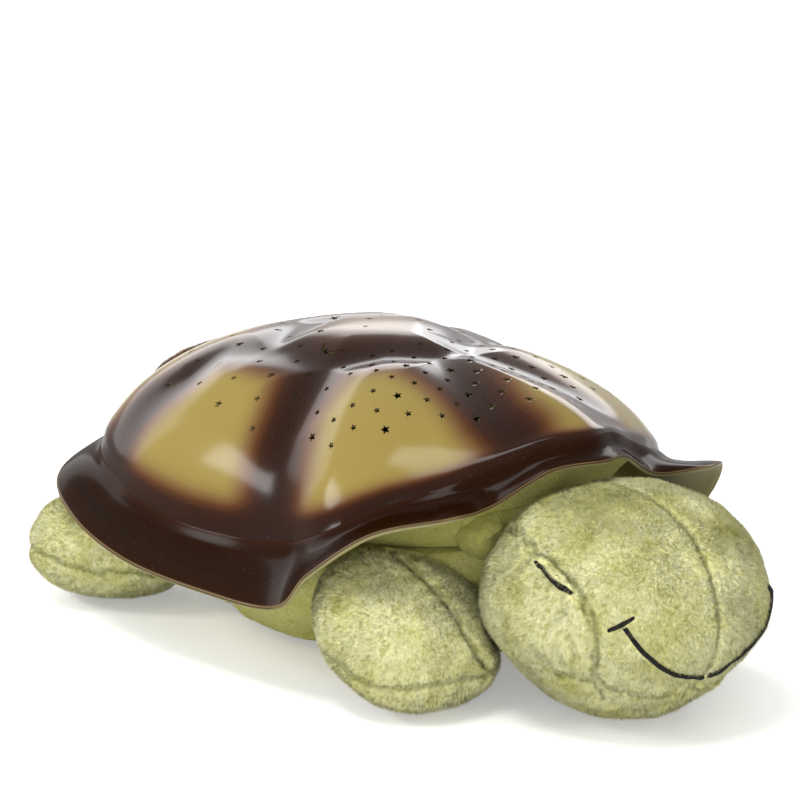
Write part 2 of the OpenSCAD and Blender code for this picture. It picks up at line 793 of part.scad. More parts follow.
// Each battery's nub end touches one contact plate, and a spring fills the other end
function battery_x(index) = (index - 1) * battery_pitch;
module along_battery(index) {
    translate([battery_x(index), shell_middle, battery_z])
        rotate([0, 0, battery_flip[index] > 0 ? 0 : 180]) children();
}
nub_end = bay.y / 2 - contact_thick - 0.1;
nub_length = 0.8;
module battery(index) {
    color(index == 1 ? "#3a3d42" : "#b0742c") along_battery(index)
        translate([0, nub_end, 0]) rotate([90, 0, 0]) {
            cylinder(r = 1.9, h = nub_length);
            translate([0, 0, nub_length]) cylinder(d = battery_diameter, h = battery_length - nub_length);
        }
}
module battery_1() {
    battery(0);
}
module battery_2() {
    battery(1);
}
module battery_3() {
    battery(2);
}
module battery_springs() {
    turns = 3;
    steps = 10;
    wire = 0.35;
    coil = 3.2;
    start = nub_end - battery_length - 0.05 - wire;
    pitch = (spring_length - 2 * wire) / turns;
    color(steel) for (index = [0:2]) along_battery(index)
        tube(
            [
                for (k = [0:turns * steps])
                    [coil * cos(360 * k / steps), start - pitch * k / steps, coil * sin(360 * k / steps)]
            ],
            wire, [0, 1, 0], 6
        );
}
module battery_plates() {
    color(steel) for (index = [0:2]) for (end = [-1, 1]) along_battery(index)
        box_at(
            [9, contact_thick, 9],
            [0, end * (bay.y - contact_thick) / 2, -4.5]
        );
}
module battery_door() {
    color(dark_plastic) difference() {
        union() {
            box_at([case_size.x, case_size.y, door_thick], [0, shell_middle, door_height]);
            translate([0, lug_y, door_height]) cylinder(r = lug_radius, h = door_thick);
            box_at([4, 2 * lug_radius, door_thick], [0, lug_y + lug_radius, door_height]);
            for (side = [-1, 1]) box_at(
                [bay.x - 1, 2, door_thick + rib_height],
                [0, shell_middle + side * bay.y / 4, door_height]
            );
        }
        translate([0, lug_y, door_height - 1]) cylinder(r = screw_radius + slide_gap, h = door_thick + 2);
    }
}
module door_screw() {
    color(steel) translate([0, lug_y, door_height - 0.1])
        screw(screw_radius, door_thick + 8, head_radius, head_thick);
}

// ---------- Leads ----------

module battery_leads() {
    start = shell_middle + bay.y / 2 - 3;
    color("#b03030") for (side = [-1, 1])
        tube(
            smooth_path([
                [side * battery_pitch / 2, start - 1.2, divider_bottom - 0.2],
                [side * battery_pitch / 2, start - 1.6, divider_top + 1],
                [side * (battery_pitch / 2 - 0.6), start - 2, main_board_z - 0.2]
            ], 3),
            lead_radius, [1, 0, 0]
        );
}
module lamp_leads() {
    color("#c8b020") tube(
        smooth_path([
            [0, shell_middle, lamp_board_z - 0.2],
            [0, shell_middle - 1, plate_top - 2],
            [1, shell_middle + 3, plate_bottom - 14],
            [6, shell_middle + 15, main_board_top + 7.5]
        ], 5),
        lead_radius, [1, 0, 0]
    );
}
module button_leads() {
    low = plate_top + lead_radius + 0.3;
    tray_end = pad_centre + [0, -4, tray_board_top - board_thick - 6];
    color("#3050a0") tube(
        smooth_path([
            tray_end,
            tray_end + [0, -9, -7],
            [0, shell_middle + plate_radius + 8, low + 3],
            [0, shell_middle + plate_radius - 12, low],
            [0, lead_hole_y + 10, low],
            [0, lead_hole_y + 1, low - 1],
            [0, lead_hole_y - 0.6, plate_bottom - 3],
            [-2, lead_hole_y - 2, plate_bottom - 14],
            [-6, shell_middle + 17, main_board_top + 7.5]
        ], 4),
        lead_radius, [1, 0, 0]
    );
}

// ---------- Torso and belly ----------

module torso_cover() {
    color(plush_green) difference() {
        intersection() {
            torso_form();
            layer(belly_thick, torso_top);
        }
        intersection() {
            torso_form(-plush);
            layer(belly_thick + plush, reach);
        }
        raised(0, reach) square(hatch, center = true);
        head_form(soft_gap);
    }
}
module torso_filling() {
    color(filling_white) difference() {
        intersection() {
            torso_form(-plush - soft_gap);
            layer(belly_thick + plush + soft_gap, torso_top);
        }
        raised(0, reach) square(cavity, center = true);
        head_form(plush + soft_gap);
        for (s = post_spots) {
            p = post_place(s);
            translate([p.x, p.y, torso_top - 1]) cylinder(r = head_radius + 1, h = 4);
        }
    }
}
module belly_panel() {
    color(belly_green) difference() {
        raised(0, belly_thick) rounded_outline(belly_size, belly_corner);
        raised(-1, flap_bay_height + 1) square(flap_bay, center = true);
        raised(-1, belly_thick + 2) square(hatch, center = true);
    }
}
module belly_flap() {
    color(belly_green) raised(flap_bottom, flap_thick) square(flap_size, center = true);
}
strip_size = [flap_size.x - 8, 7];
strip_y = (hatch.y + strip_size.y) / 2 + 1;
// A strip across each end of the flap, front and rear
module strips(z) {
    for (side = [-1, 1])
        box_at([strip_size.x, strip_size.y, strip_thick], [0, shell_middle + side * strip_y, z]);
}
module flap_hooks() {
    color(dark_plastic) strips(flap_bay_height - strip_thick);
}
module flap_loops() {
    color(belly_green) strips(flap_bottom + flap_thick);
}

// ---------- Head ----------

module head_cover() {
    color(plush_green) difference() {
        head_form();
        head_form(-plush);
        translate(head_centre) rotate([-90, 0, 0]) cylinder(r = neck_radius, h = reach);
    }
}
module head_filling() {
    color(filling_white) head_form(-plush - soft_gap);
}
// The point of the head's surface that lies in a direction from its centre, moved out by lift
function head_point(direction, lift) =
    let (
        p = head_power,
        q = [for (i = [0:2]) pow(abs(direction[i]) / head_half[i], p)],
        r = pow(q.x + q.y + q.z, -1 / p)
    )
    head_centre + direction * (r + lift / norm(direction));
eye_line = [[55, -4, 28], [55.5, -11, 25.5], [56, -17, 23], [55, -23, 21], [54, -27, 20]];
mouth_line = [
    [-42, -49, 7], [-39.5, -51.5, 2.5], [-37, -53, -2], [-33, -55, -7], [-28, -56, -12],
    [-22, -57.5, -16], [-16, -58, -20], [-8, -58.5, -23], [0, -59, -24]
];
module stitched(line, side_direction) {
    color(thread_black) tube(
        smooth_path([for (d = line) head_point(d, thread_radius + soft_gap)], 2),
        thread_radius, side_direction
    );
}
module eye_left() {
    stitched(eye_line, [1, 0, 0]);
}
module eye_right() {
    mirror([1, 0, 0]) stitched(eye_line, [1, 0, 0]);
}
module smile() {
    mirrored = [for (i = [len(mouth_line) - 2:-1:0]) [-mouth_line[i].x, mouth_line[i].y, mouth_line[i].z]];
    stitched(concat(mouth_line, mirrored), [0, 1, 0.2]);
}

// ---------- Limbs and tail ----------

// All that a limb must not reach into: the head, the torso, the light unit and the ground
module limb_neighbours(gap) {
    head_form(gap);
    intersection() {
        torso_form(gap);
        layer(-1, plate_bottom);
    }
    raised(plate_bottom - gap, plate_thick + 2 * gap) stadium(plate_radius + gap, plate_spread);
    raised(-1, belly_thick + 1) rounded_outline(belly_size + 2 * gap * [1, 1], belly_corner);
    layer(-reach, 0);
}
module front_flipper() {
    color(plush_green) difference() {
        flipper_form();
        flipper_form(-plush);
        limb_neighbours(soft_gap);
    }
}
module rear_leg() {
    color(plush_green) difference() {
        leg_form();
        leg_form(-plush);
        limb_neighbours(soft_gap);
    }
}
// The limbs are drawn on the +X side, which is the turtle's left
module front_flipper_left() {
    front_flipper();
}
module front_flipper_right() {
    mirror([1, 0, 0]) front_flipper();
}
module rear_leg_left() {
    rear_leg();
}
module rear_leg_right() {
    mirror([1, 0, 0]) rear_leg();
}
module tail() {
    color(plush_green) difference() {
        tail_form();
        limb_neighbours(soft_gap);
    }
}
module limb_filling() {
    inset = -plush - soft_gap;
    color(filling_white) for (flip = [0, 1]) mirror([flip, 0, 0]) difference() {
        union() {
            flipper_form(inset);
            leg_form(inset);
        }
        limb_neighbours(2 * soft_gap);
    }
}

shell();
shell_posts();
shell_screws();
control_tray();
control_pad();
button_board();
button_switches();
tray_screws();
power_button();
amber_button();
green_button();
blue_button();
base_plate();
lamp_column();
lamp_board();
amber_lamp();
green_lamp();
blue_lamp();
lamp_cover();
battery_case();
case_screws();
main_board();
board_screws();
timer_chip();
board_parts();
battery_1();
battery_2();
battery_3();
battery_springs();
battery_plates();
battery_door();
door_screw();
battery_leads();
lamp_leads();
button_leads();
torso_cover();
torso_filling();
belly_panel();
belly_flap();
flap_hooks();
flap_loops();
head_cover();
head_filling();
eye_left();
eye_right();
smile();
front_flipper_left();
front_flipper_right();
rear_leg_left();
rear_leg_right();
tail();
limb_filling();
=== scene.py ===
"""A sleeping plush turtle whose hard shell throws stars on the ceiling."""
import math

import bmesh
import bpy
import numpy as np
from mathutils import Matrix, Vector
from mathutils.bvhtree import BVHTree
from mathutils.kdtree import KDTree


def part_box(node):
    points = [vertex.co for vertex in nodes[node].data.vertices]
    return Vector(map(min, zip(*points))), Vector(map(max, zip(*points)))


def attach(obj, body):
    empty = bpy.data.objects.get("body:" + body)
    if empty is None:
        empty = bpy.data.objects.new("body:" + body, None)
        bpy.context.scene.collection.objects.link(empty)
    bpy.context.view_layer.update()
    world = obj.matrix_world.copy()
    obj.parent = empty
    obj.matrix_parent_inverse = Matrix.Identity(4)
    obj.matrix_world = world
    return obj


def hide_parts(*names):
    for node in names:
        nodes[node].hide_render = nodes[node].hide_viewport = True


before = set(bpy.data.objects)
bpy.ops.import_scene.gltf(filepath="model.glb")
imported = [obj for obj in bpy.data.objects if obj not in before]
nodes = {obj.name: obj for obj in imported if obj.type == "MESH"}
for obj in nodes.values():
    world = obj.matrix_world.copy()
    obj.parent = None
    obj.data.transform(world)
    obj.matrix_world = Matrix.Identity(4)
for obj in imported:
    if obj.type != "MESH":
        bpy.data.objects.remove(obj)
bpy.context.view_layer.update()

# ---------- Sizes, in metres ----------

MM = 0.001
SHELL_WIDTH = 0.276
SHELL_LENGTH = 0.316
SHELL_HEIGHT = 0.143
SHELL_WALL = 0.0022
SHELL_FRONT = -0.124
SHELL_MIDDLE = SHELL_FRONT + 0.512 * SHELL_LENGTH
PLATE_SWELL = 0.0044
BEAD_HEIGHT = 0.002
BRIM_SAG = 0.003
GROOVE_REACH = 0.014
DOME_EDGE = 0.62
DOME_FULLNESS = (1.7, 2.3)
STAR_COUNT = 150
STAR_SIZE = 0.0036
POST_RADIUS = 0.005
POST_SPOTS = [(5.9, 0.58), (9.6, 0.58), (-5.9, 0.58), (-9.6, 0.58)]
MOON_SPOT = (15.66, 0.29)
MOON_RADIUS = 0.0068
PLATE_TOP = 0.065
PLATE_BOTTOM = 0.062
PLATE_RADIUS = 0.074
PLATE_SPREAD = 0.032
LAMP_CENTRE = (0, SHELL_MIDDLE, 0.086)
APEX = np.array([0, SHELL_FRONT + 0.462 * SHELL_LENGTH, SHELL_HEIGHT - PLATE_SWELL])
SOFT_GAP = 0.0003
PAD_TILT = math.radians(31)
BUTTON_PITCH = 0.018
BUTTON_RADIUS = 0.0062
PILE_LENGTH = 0.0018
CRUSH_SCALE = 320.0
FIBRE_WIDTH = 0.00016
FLOOR_GAP = 0.0002
TORSO_BOTTOM = 0.0038
TRAY_REACH = 0.023
TRAY_RADIUS = 0.0139
SIDES = ((1, "left"), (-1, "right"))

# Share of half the width, of the length and of the height, from the front arch round to the rear
RIM_STATIONS = [
    (0, 0, 0.775), (0.16, 0.035, 0.75), (0.35, 0.065, 0.65), (0.54, 0.05, 0.65),
    (0.74, 0.115, 0.60), (0.86, 0.195, 0.45), (0.88, 0.265, 0.31), (0.94, 0.405, 0.295),
    (1, 0.58, 0.32), (0.97, 0.75, 0.38), (0.83, 0.885, 0.45), (0.45, 0.965, 0.51), (0, 1, 0.55),
]
BEAD_STATIONS = [
    (0, 0.035, 0.82), (0.155, 0.065, 0.80), (0.31, 0.10, 0.73), (0.455, 0.135, 0.67),
    (0.60, 0.185, 0.61), (0.705, 0.25, 0.52), (0.73, 0.325, 0.455), (0.76, 0.42, 0.42),
    (0.82, 0.565, 0.42), (0.82, 0.71, 0.46), (0.715, 0.84, 0.54), (0.405, 0.915, 0.615),
    (0, 0.94, 0.645),
]
GROOVES = [
    [(0, 0.354), (0.05, 0.354), (0.17, 0.415), (0.33, 0.475), (0.36, 0.608), (0, 0.705)],
    [(0.33, 0.475), (0.42, 0.45), (0.52, 0.424), (0.60, 0.405), (0.73, 0.35)],
    [(0.36, 0.608), (0.43, 0.68), (0.57, 0.69), (0.67, 0.722), (0.78, 0.745)],
    [(0.05, 0.354), (0.14, 0.206), (0.18, 0.136), (0.18, 0.085)],
]
# Places round the shell are counted in stations, from the front arch
HALF_TURN = 12
FULL_TURN = 24


# ---------- Node trees ----------

WHITE = (1, 1, 1, 1)


def tone(code):
    """A colour code such as #a8964a as the linear values that a shader takes."""
    parts = [int(code[i : i + 2], 16) / 255 for i in (1, 3, 5)]
    return tuple(c / 12.92 if c <= 0.04045 else ((c + 0.055) / 1.055) ** 2.4 for c in parts) + (1,)


class NodeTree:
    """A tree of nodes that is put together step by step."""

    def __init__(self, tree, bare=False):
        self.tree = tree
        if bare:
            tree.nodes.clear()

    def give(self, socket, value):
        """Fills a socket with another node's output, a colour code or a plain value."""
        if isinstance(value, bpy.types.NodeSocket):
            self.tree.links.new(value, socket)
        elif isinstance(value, str) and value.startswith("#"):
            socket.default_value = tone(value)
        else:
            socket.default_value = value

    def add(self, kind, given=(), **settings):
        """Adds a node with its settings and with what its inputs are given."""
        made = self.tree.nodes.new(kind)
        for name, value in settings.items():
            setattr(made, name, value)
        for name, value in dict(given).items():
            self.give(made.inputs[name], value)
        return made

    def maths(self, operation, a, b):
        return self.add("ShaderNodeMath", {0: a, 1: b}, operation=operation).outputs[0]

    def vector(self, operation, a, b=(0, 0, 0)):
        return self.add("ShaderNodeVectorMath", {0: a, 1: b}, operation=operation).outputs[0]

    def noise(self, place, scale, detail=2, rough=0.5):
        given = {"Vector": place, "Scale": scale, "Detail": detail, "Roughness": rough}
        return self.add("ShaderNodeTexNoise", given).outputs


class ShapeTree(NodeTree):
    """A tree that makes geometry, with named inputs."""

    def __init__(self, name, inputs):
        super().__init__(bpy.data.node_groups.new(name, "GeometryNodeTree"))
        for label, kind in {"Geometry": "Geometry", **inputs}.items():
            self.tree.interface.new_socket(label, in_out="INPUT", socket_type="NodeSocket" + kind)
        self.tree.interface.new_socket("Geometry", in_out="OUTPUT", socket_type="NodeSocketGeometry")
        self.inputs = self.add("NodeGroupInput").outputs
        self.place = self.add("GeometryNodeInputPosition").outputs[0]

    def held(self, name, kind="FLOAT"):
        """What each point holds under a name."""
        made = self.add("GeometryNodeInputNamedAttribute", {"Name": name}, data_type=kind)
        return made.outputs["Attribute"]

    def keep(self, geometry, name, value, kind="FLOAT"):
        """Stores a value under a name at each point."""
        given = {"Geometry": geometry, "Name": name, "Value": value}
        return self.add("GeometryNodeStoreNamedAttribute", given, data_type=kind, domain="POINT").outputs[0]

    def aligned(self, axis, vector, given=(), **settings):
        """A turn that points an axis along a vector."""
        given = {"Vector": vector, **dict(given)}
        return self.add("FunctionNodeAlignRotationToVector", given, axis=axis, **settings).outputs[0]

    def random(self, low, high, seed):
        """Three random numbers for each point."""
        given = {"Min": low, "Max": high, "Seed": seed}
        return self.add("FunctionNodeRandomValue", given, data_type="FLOAT_VECTOR").outputs[0]

    def stray(self, reach, seed):
        """A small random direction for each point."""
        return self.random((-reach, -reach, -reach), (reach, reach, reach), seed)

    def drift(self, scale, reach):
        """A direction that wanders over the surface."""
        centred = self.vector("SUBTRACT", self.noise(self.place, scale)["Color"], (0.5, 0.5, 0.5))
        return self.vector("MULTIPLY", centred, (reach, reach, reach))

    def shape(self, name):
        return self.add("GeometryNodeObjectInfo", {"Object": self.inputs[name]}).outputs["Geometry"]

    def points(self):
        return self.add("GeometryNodeMeshToPoints", {0: self.inputs["Geometry"]}).outputs[0]

    def stand(self, points, shape, turn, scale):
        """Stands a shape on every point, makes the copies real and gives them their finish."""
        given = {"Points": points, "Instance": shape, "Rotation": turn, "Scale": scale}
        copies = self.add("GeometryNodeInstanceOnPoints", given).outputs[0]
        real = self.add("GeometryNodeRealizeInstances", {0: copies}).outputs[0]
        given = {"Geometry": real, "Material": self.inputs["Finish"]}
        finished = self.add("GeometryNodeSetMaterial", given).outputs[0]
        self.add("NodeGroupOutput", {0: finished})
        return self.tree


def run_tree(piece, tree, inputs):
    """Runs a tree on a piece, its inputs set by their sockets' own identifiers, and keeps the mesh."""
    work = piece.modifiers.new(tree.name, "NODES")
    work.node_group = tree
    for item in tree.interface.items_tree:
        if item.item_type == "SOCKET" and item.in_out == "INPUT" and item.name in inputs:
            work[item.identifier] = inputs[item.name]
    settle(piece)


# ---------- Camera, lights and floor ----------

VIEW_TURN = math.radians(-37)
VIEW_RISE = math.radians(15.5)
VIEW_DISTANCE = 1.6
VIEW_MIDDLE = Vector((0, 0, 0.070))
VIEW_ASIDE = 0.0175
VIEW_ABOVE = 0.0422
LENS = 151.4

# Name, place, width, height and power of each lamp
LAMPS = [
    ("overhead_softbox", (-0.55, -0.1, 1.6), 0.6, 0.45, 11),
    ("left_softbox", (-1.12, 0.73, 0.78), 0.42, 0.26, 6.5),
    ("front_softbox", (-1.15, -1.35, 0.32), 1.2, 0.5, 14),
    ("right_softbox", (1.75, 1.25, 0.86), 1.3, 0.7, 13),
    ("back_softbox", (0.2, 2.1, 0.95), 3.0, 0.9, 30),
]
ROOM_LIGHT = 0.68
FLOOR_SIZE = 6.0
FLOOR_COLOUR = (0.93, 0.93, 0.92, 1)
FLOOR_GLOW = 0.28


def view_axes():
    """The directions right, up and towards the camera."""
    sin_a, cos_a = math.sin(VIEW_TURN), math.cos(VIEW_TURN)
    sin_e, cos_e = math.sin(VIEW_RISE), math.cos(VIEW_RISE)
    right = Vector((cos_a, sin_a, 0))
    up = Vector((-sin_a * sin_e, cos_a * sin_e, cos_e))
    towards = Vector((sin_a * cos_e, -cos_a * cos_e, sin_e))
    return right, up, towards


def aim(thing, target):
    thing.rotation_euler = (thing.location - target).to_track_quat("Z", "Y").to_euler()


def set_camera():
    right, up, towards = view_axes()
    camera = bpy.data.objects.new("camera", bpy.data.cameras.new("camera"))
    bpy.context.scene.collection.objects.link(camera)
    camera.data.lens = LENS
    camera.data.clip_end = 20
    camera.location = VIEW_MIDDLE + VIEW_DISTANCE * towards
    aim(camera, VIEW_MIDDLE - VIEW_ASIDE * right + VIEW_ABOVE * up)
    bpy.context.scene.camera = camera


def add_lamp(name, place, width, height, power):
    lamp = bpy.data.lights.new(name, "AREA")
    lamp.shape = "RECTANGLE"
    lamp.size = width
    lamp.size_y = height
    lamp.energy = power
    holder = bpy.data.objects.new(name, lamp)
    bpy.context.scene.collection.objects.link(holder)
    holder.location = place
    holder.visible_camera = False
    aim(holder, VIEW_MIDDLE)


def light_the_room():
    """Soft lamps, and a room that is dim to the object but white where it is seen."""
    for lamp in LAMPS:
        add_lamp(*lamp)
    world = bpy.data.worlds.new("room")
    bpy.context.scene.world = world
    world.use_nodes = True
    tree = NodeTree(world.node_tree, bare=True)
    ray = tree.add("ShaderNodeLightPath").outputs
    seen = tree.maths("MAXIMUM", ray["Is Camera Ray"], ray["Is Glossy Ray"])
    seen = tree.maths("MAXIMUM", seen, ray["Is Transmission Ray"])
    dim = tree.add("ShaderNodeBackground", {"Color": WHITE, "Strength": ROOM_LIGHT}).outputs[0]
    white = tree.add("ShaderNodeBackground", {"Color": WHITE, "Strength": 1}).outputs[0]
    room = tree.add("ShaderNodeMixShader", {"Fac": seen, 1: dim, 2: white}).outputs[0]
    tree.add("ShaderNodeOutputWorld", {"Surface": room})


def lay_floor():
    """A white floor that keeps the shadow and shows white where none falls."""
    corners = [(x * FLOOR_SIZE, y * FLOOR_SIZE, 0) for x, y in ((-1, -1), (1, -1), (1, 1), (-1, 1))]
    floor = new_piece("floor", corners, [(0, 1, 2, 3)])
    material = bpy.data.materials.new("white_floor")
    material.use_nodes = True
    tree = NodeTree(material.node_tree, bare=True)
    seen = tree.add("ShaderNodeLightPath").outputs["Is Camera Ray"]
    matt = tree.add("ShaderNodeBsdfDiffuse", {"Color": FLOOR_COLOUR}).outputs[0]
    glow = tree.maths("MULTIPLY", seen, FLOOR_GLOW)
    glow = tree.add("ShaderNodeEmission", {"Color": WHITE, "Strength": glow}).outputs[0]
    both = tree.add("ShaderNodeAddShader", {0: matt, 1: glow}).outputs[0]
    tree.add("ShaderNodeOutputMaterial", {"Surface": both})
    floor.data.materials.append(material)


# ---------- Mesh work ----------


def new_piece(name, points, faces):
    mesh = bpy.data.meshes.new(name)
    mesh.from_pydata(np.asarray(points, float).tolist(), [], [tuple(f) for f in faces])
    mesh.update()
    piece = bpy.data.objects.new(name, mesh)
    bpy.context.scene.collection.objects.link(piece)
    return piece


def points_of(piece):
    flat = np.empty(len(piece.data.vertices) * 3)
    piece.data.vertices.foreach_get("co", flat)
    return flat.reshape(-1, 3)


def move_points(piece, points):
    piece.data.vertices.foreach_set("co", np.asarray(points, float).ravel())
    piece.data.update()


def normals_of(piece):
    flat = np.empty(len(piece.data.vertices) * 3)
    piece.data.vertex_normals.foreach_get("vector", flat)
    return flat.reshape(-1, 3)


def settle(piece):
    """Turns what the modifiers make into the piece's own mesh."""
    graph = bpy.context.evaluated_depsgraph_get()
    mesh = bpy.data.meshes.new_from_object(piece.evaluated_get(graph))
    old = piece.data
    piece.modifiers.clear()
    piece.data = mesh
    mesh.name = piece.name
    bpy.data.meshes.remove(old)
    return piece


def smooth_shade(piece):
    piece.data.polygons.foreach_set("use_smooth", [True] * len(piece.data.polygons))


def store(piece, name, values):
    """Keeps a number or a direction for each point under a name."""
    values = np.asarray(values, float)
    kind, field = ("FLOAT", "value") if values.ndim == 1 else ("FLOAT_VECTOR", "vector")
    layer = piece.data.attributes.new(name, kind, "POINT")
    layer.data.foreach_set(field, values.ravel())


def even_out(piece, voxel):
    """Rebuilds a piece from even faces."""
    even = piece.modifiers.new("even", "REMESH")
    even.mode = "VOXEL"
    even.voxel_size = voxel
    settle(piece)


def divide(piece, levels):
    """Rounds a piece by dividing its faces."""
    finer = piece.modifiers.new("finer", "SUBSURF")
    finer.levels = levels
    finer.render_levels = levels
    settle(piece)


def cut_away(piece, cutter, solver="MANIFOLD"):
    cut = piece.modifiers.new("cut", "BOOLEAN")
    cut.operation = "DIFFERENCE"
    cut.solver = solver
    cut.object = cutter
    settle(piece)
    bpy.data.objects.remove(cutter)


def fix_outside(piece):
    """Turns the faces of a closed piece outwards."""
    work = bmesh.new()
    work.from_mesh(piece.data)
    bmesh.ops.recalc_face_normals(work, faces=work.faces)
    work.to_mesh(piece.data)
    work.free()


def prism(outline, low, high):
    """A straight block over a flat outline, from a low to a high level."""
    n = len(outline)
    points = [(x, y, low) for x, y in outline] + [(x, y, high) for x, y in outline]
    faces = [(i, (i + 1) % n, n + (i + 1) % n, n + i) for i in range(n)]
    faces += [tuple(range(n - 1, -1, -1)), tuple(range(n, 2 * n))]
    return points, faces


def length_of(v):
    return np.linalg.norm(v, axis=-1)


def unit(v):
    return v / np.maximum(length_of(v)[..., None], 1e-12)


def ease(value, low, high):
    """0 below low, 1 above high, with a soft change between them."""
    f = np.clip((value - low) / (high - low), 0, 1)
    return f * f * (3 - 2 * f)


def bell(value, width):
    return np.exp(-((value / width) ** 2))


def ripple(points, wave, seed):
    """A smooth wandering value from about -1 to 1 that changes over one wave."""
    k = 2 * math.pi / wave
    x, y, z = (points * k).T
    return (
        np.sin(x + 1.7 * np.sin(0.7 * y + seed) + seed)
        + np.sin(y + 1.3 * np.sin(0.8 * z + 2 * seed) + 2.1)
        + np.sin(z + 1.5 * np.sin(0.9 * x + 3 * seed) + 4.2)
    ) / 3


def bend_through(a, b, c, d, f):
    """The point at share f of the way from b to c, on a smooth line through all four."""
    return b + 0.5 * f * (c - a + f * (2 * a - 5 * b + 4 * c - d + f * (3 * (b - c) + d - a)))


def smooth_path(points, step=0.001):
    """A smooth line through the points, cut into even steps."""
    p = np.asarray(points, float)
    ends = np.concatenate([p[:1], p, p[-1:]])
    out = []
    for i in range(len(p) - 1):
        a, b, c, d = ends[i : i + 4]
        count = max(2, int(np.linalg.norm(c - b) / step))
        out.append(bend_through(a, b, c, d, np.arange(count)[:, None] / count))
    out.append(p[-1:])
    return np.concatenate(out)


PATH_BATCH = 4000


def path_distance(points, path):
    """How far each point is from a path, and how far along the path it lies."""
    along = np.concatenate([[0], np.cumsum(length_of(np.diff(path, axis=0)))])
    far = np.empty(len(points))
    place = np.empty(len(points))
    for i in range(0, len(points), PATH_BATCH):
        batch = slice(i, i + PATH_BATCH)
        gap = length_of(points[batch, None] - path[None])
        nearest = gap.argmin(axis=1)
        far[batch] = gap[np.arange(len(nearest)), nearest]
        place[batch] = along[nearest]
    return far, place


def skin_of(piece):
    return BVHTree.FromObject(piece, bpy.context.evaluated_depsgraph_get())


def on_skin(skin, points):
    """The nearest points of a piece's skin, and the way out at each."""
    found = [skin.find_nearest(Vector(p)) for p in points]
    return np.array([f[0] for f in found]), np.array([f[1] for f in found])


def laid_on(piece, path):
    """The points of a piece's skin that lie nearest to a path."""
    return on_skin(skin_of(piece), path)[0]


# ---------- Soft forms ----------


def power_of(value, power):
    return np.sign(value) * np.abs(value) ** (2 / power)


class SoftForm:
    """A rounded cushion form: its centre, half sizes, fullness in plan and side view, and turn."""

    def __init__(self, centre, half, plan, side, turn=(0, 0, 0)):
        self.centre = np.array(centre, float)
        self.half = np.array(half, float)
        self.plan = plan
        self.side = side
        self.turn = np.array(rotation(turn))

    def value(self, points, gap=0.0):
        """Below 1 inside the form grown by gap."""
        q = np.abs((points - self.centre) @ self.turn) / (self.half + gap)
        ring = (q[:, 0] ** self.plan + q[:, 1] ** self.plan) ** (self.side / self.plan)
        return ring + q[:, 2] ** self.side

    def net(self, sides, levels, slack=0.0):
        """The points and faces of the form's own skin, drawn in by the slack."""
        latitude = np.radians(np.linspace(-90, 90, levels + 1)[1:-1])[:, None]
        turn = np.radians(np.arange(sides) * 360 / sides)[None]
        half = self.half - slack
        r = power_of(np.cos(latitude), self.side)
        rows = np.stack(
            [
                half[0] * r * power_of(np.cos(turn), self.plan),
                half[1] * r * power_of(np.sin(turn), self.plan),
                half[2] * power_of(np.sin(latitude), self.side) * np.ones_like(turn),
            ],
            axis=-1,
        ).reshape(-1, 3)
        poles = np.array([[0, 0, -half[2]], [0, 0, half[2]]])
        points = np.concatenate([rows, poles]) @ self.turn.T + self.centre
        return points, net_faces(sides, levels - 1, closed=True)

    def surface(self, directions):
        """The points of the form's surface that lie in some directions from its centre."""
        d = np.asarray(directions, float)
        r = self.value(self.centre + d) ** (-1 / self.side)
        return self.centre + d * r[:, None]


def rotation(turn):
    from_angles = bpy.data.objects.new("turner", None)
    from_angles.rotation_euler = [math.radians(t) for t in turn]
    matrix = from_angles.rotation_euler.to_matrix()
    bpy.data.objects.remove(from_angles)
    return matrix


def net_faces(sides, rows, closed):
    """Faces of a net of rings, each of so many sides, with a pole at each end if it is closed."""
    faces = []
    for j in range(rows - 1):
        for i in range(sides):
            a = j * sides + i
            b = j * sides + (i + 1) % sides
            faces.append((a, b, b + sides, a + sides))
    if closed:
        low = rows * sides
        top = (rows - 1) * sides
        for i in range(sides):
            n = (i + 1) % sides
            faces.append((low, n, i))
            faces.append((low + 1, top + i, top + n))
    return faces


HEAD = SoftForm((0, -0.140, 0.0505), (0.063, 0.063, 0.0505), 2.15, 2.15)
TORSO = SoftForm((0, SHELL_MIDDLE + 0.0002, 0.040), (0.093, 0.122, 0.040), 2.4, 3)
TAIL = SoftForm((0, 0.179, 0.030), (0.020, 0.024, 0.015), 1.7, 2)
COLLAR = SoftForm((0, -0.072, 0.068), (0.040, 0.024, 0.016), 2.6, 2.2, (-8, 0, 0))


def flipper_form(side):
    return SoftForm((side * 0.071, -0.072, 0.0348), (0.042, 0.044, 0.028), 2.36, 2.36, (30, 0, 0))


def leg_form(side):
    return SoftForm((side * 0.0903, 0.1426, 0.0269), (0.043, 0.043, 0.0265), 2.36, 2.36, (0, 0, side * 53))


def in_plate(points, gap):
    """Whether points lie in the base plate grown by gap."""
    y = np.abs(points[:, 1] - SHELL_MIDDLE)
    reach = np.hypot(points[:, 0], np.maximum(y - PLATE_SPREAD, 0))
    level = (points[:, 2] > PLATE_BOTTOM - gap) & (points[:, 2] < PLATE_TOP + gap)
    return level & (reach < PLATE_RADIUS + gap)


def caught_by(points, forms, gap):
    """Whether points lie in any of the forms grown by gap."""
    caught = np.zeros(len(points), bool)
    for form in forms:
        caught |= form.value(points, gap) < 1
    return caught


DRAW_IN = 0.0125
DRAW_STEPS = 80
LEAST_SHARE = 0.02
LIFT = 0.0008
LIFT_STEPS = 60


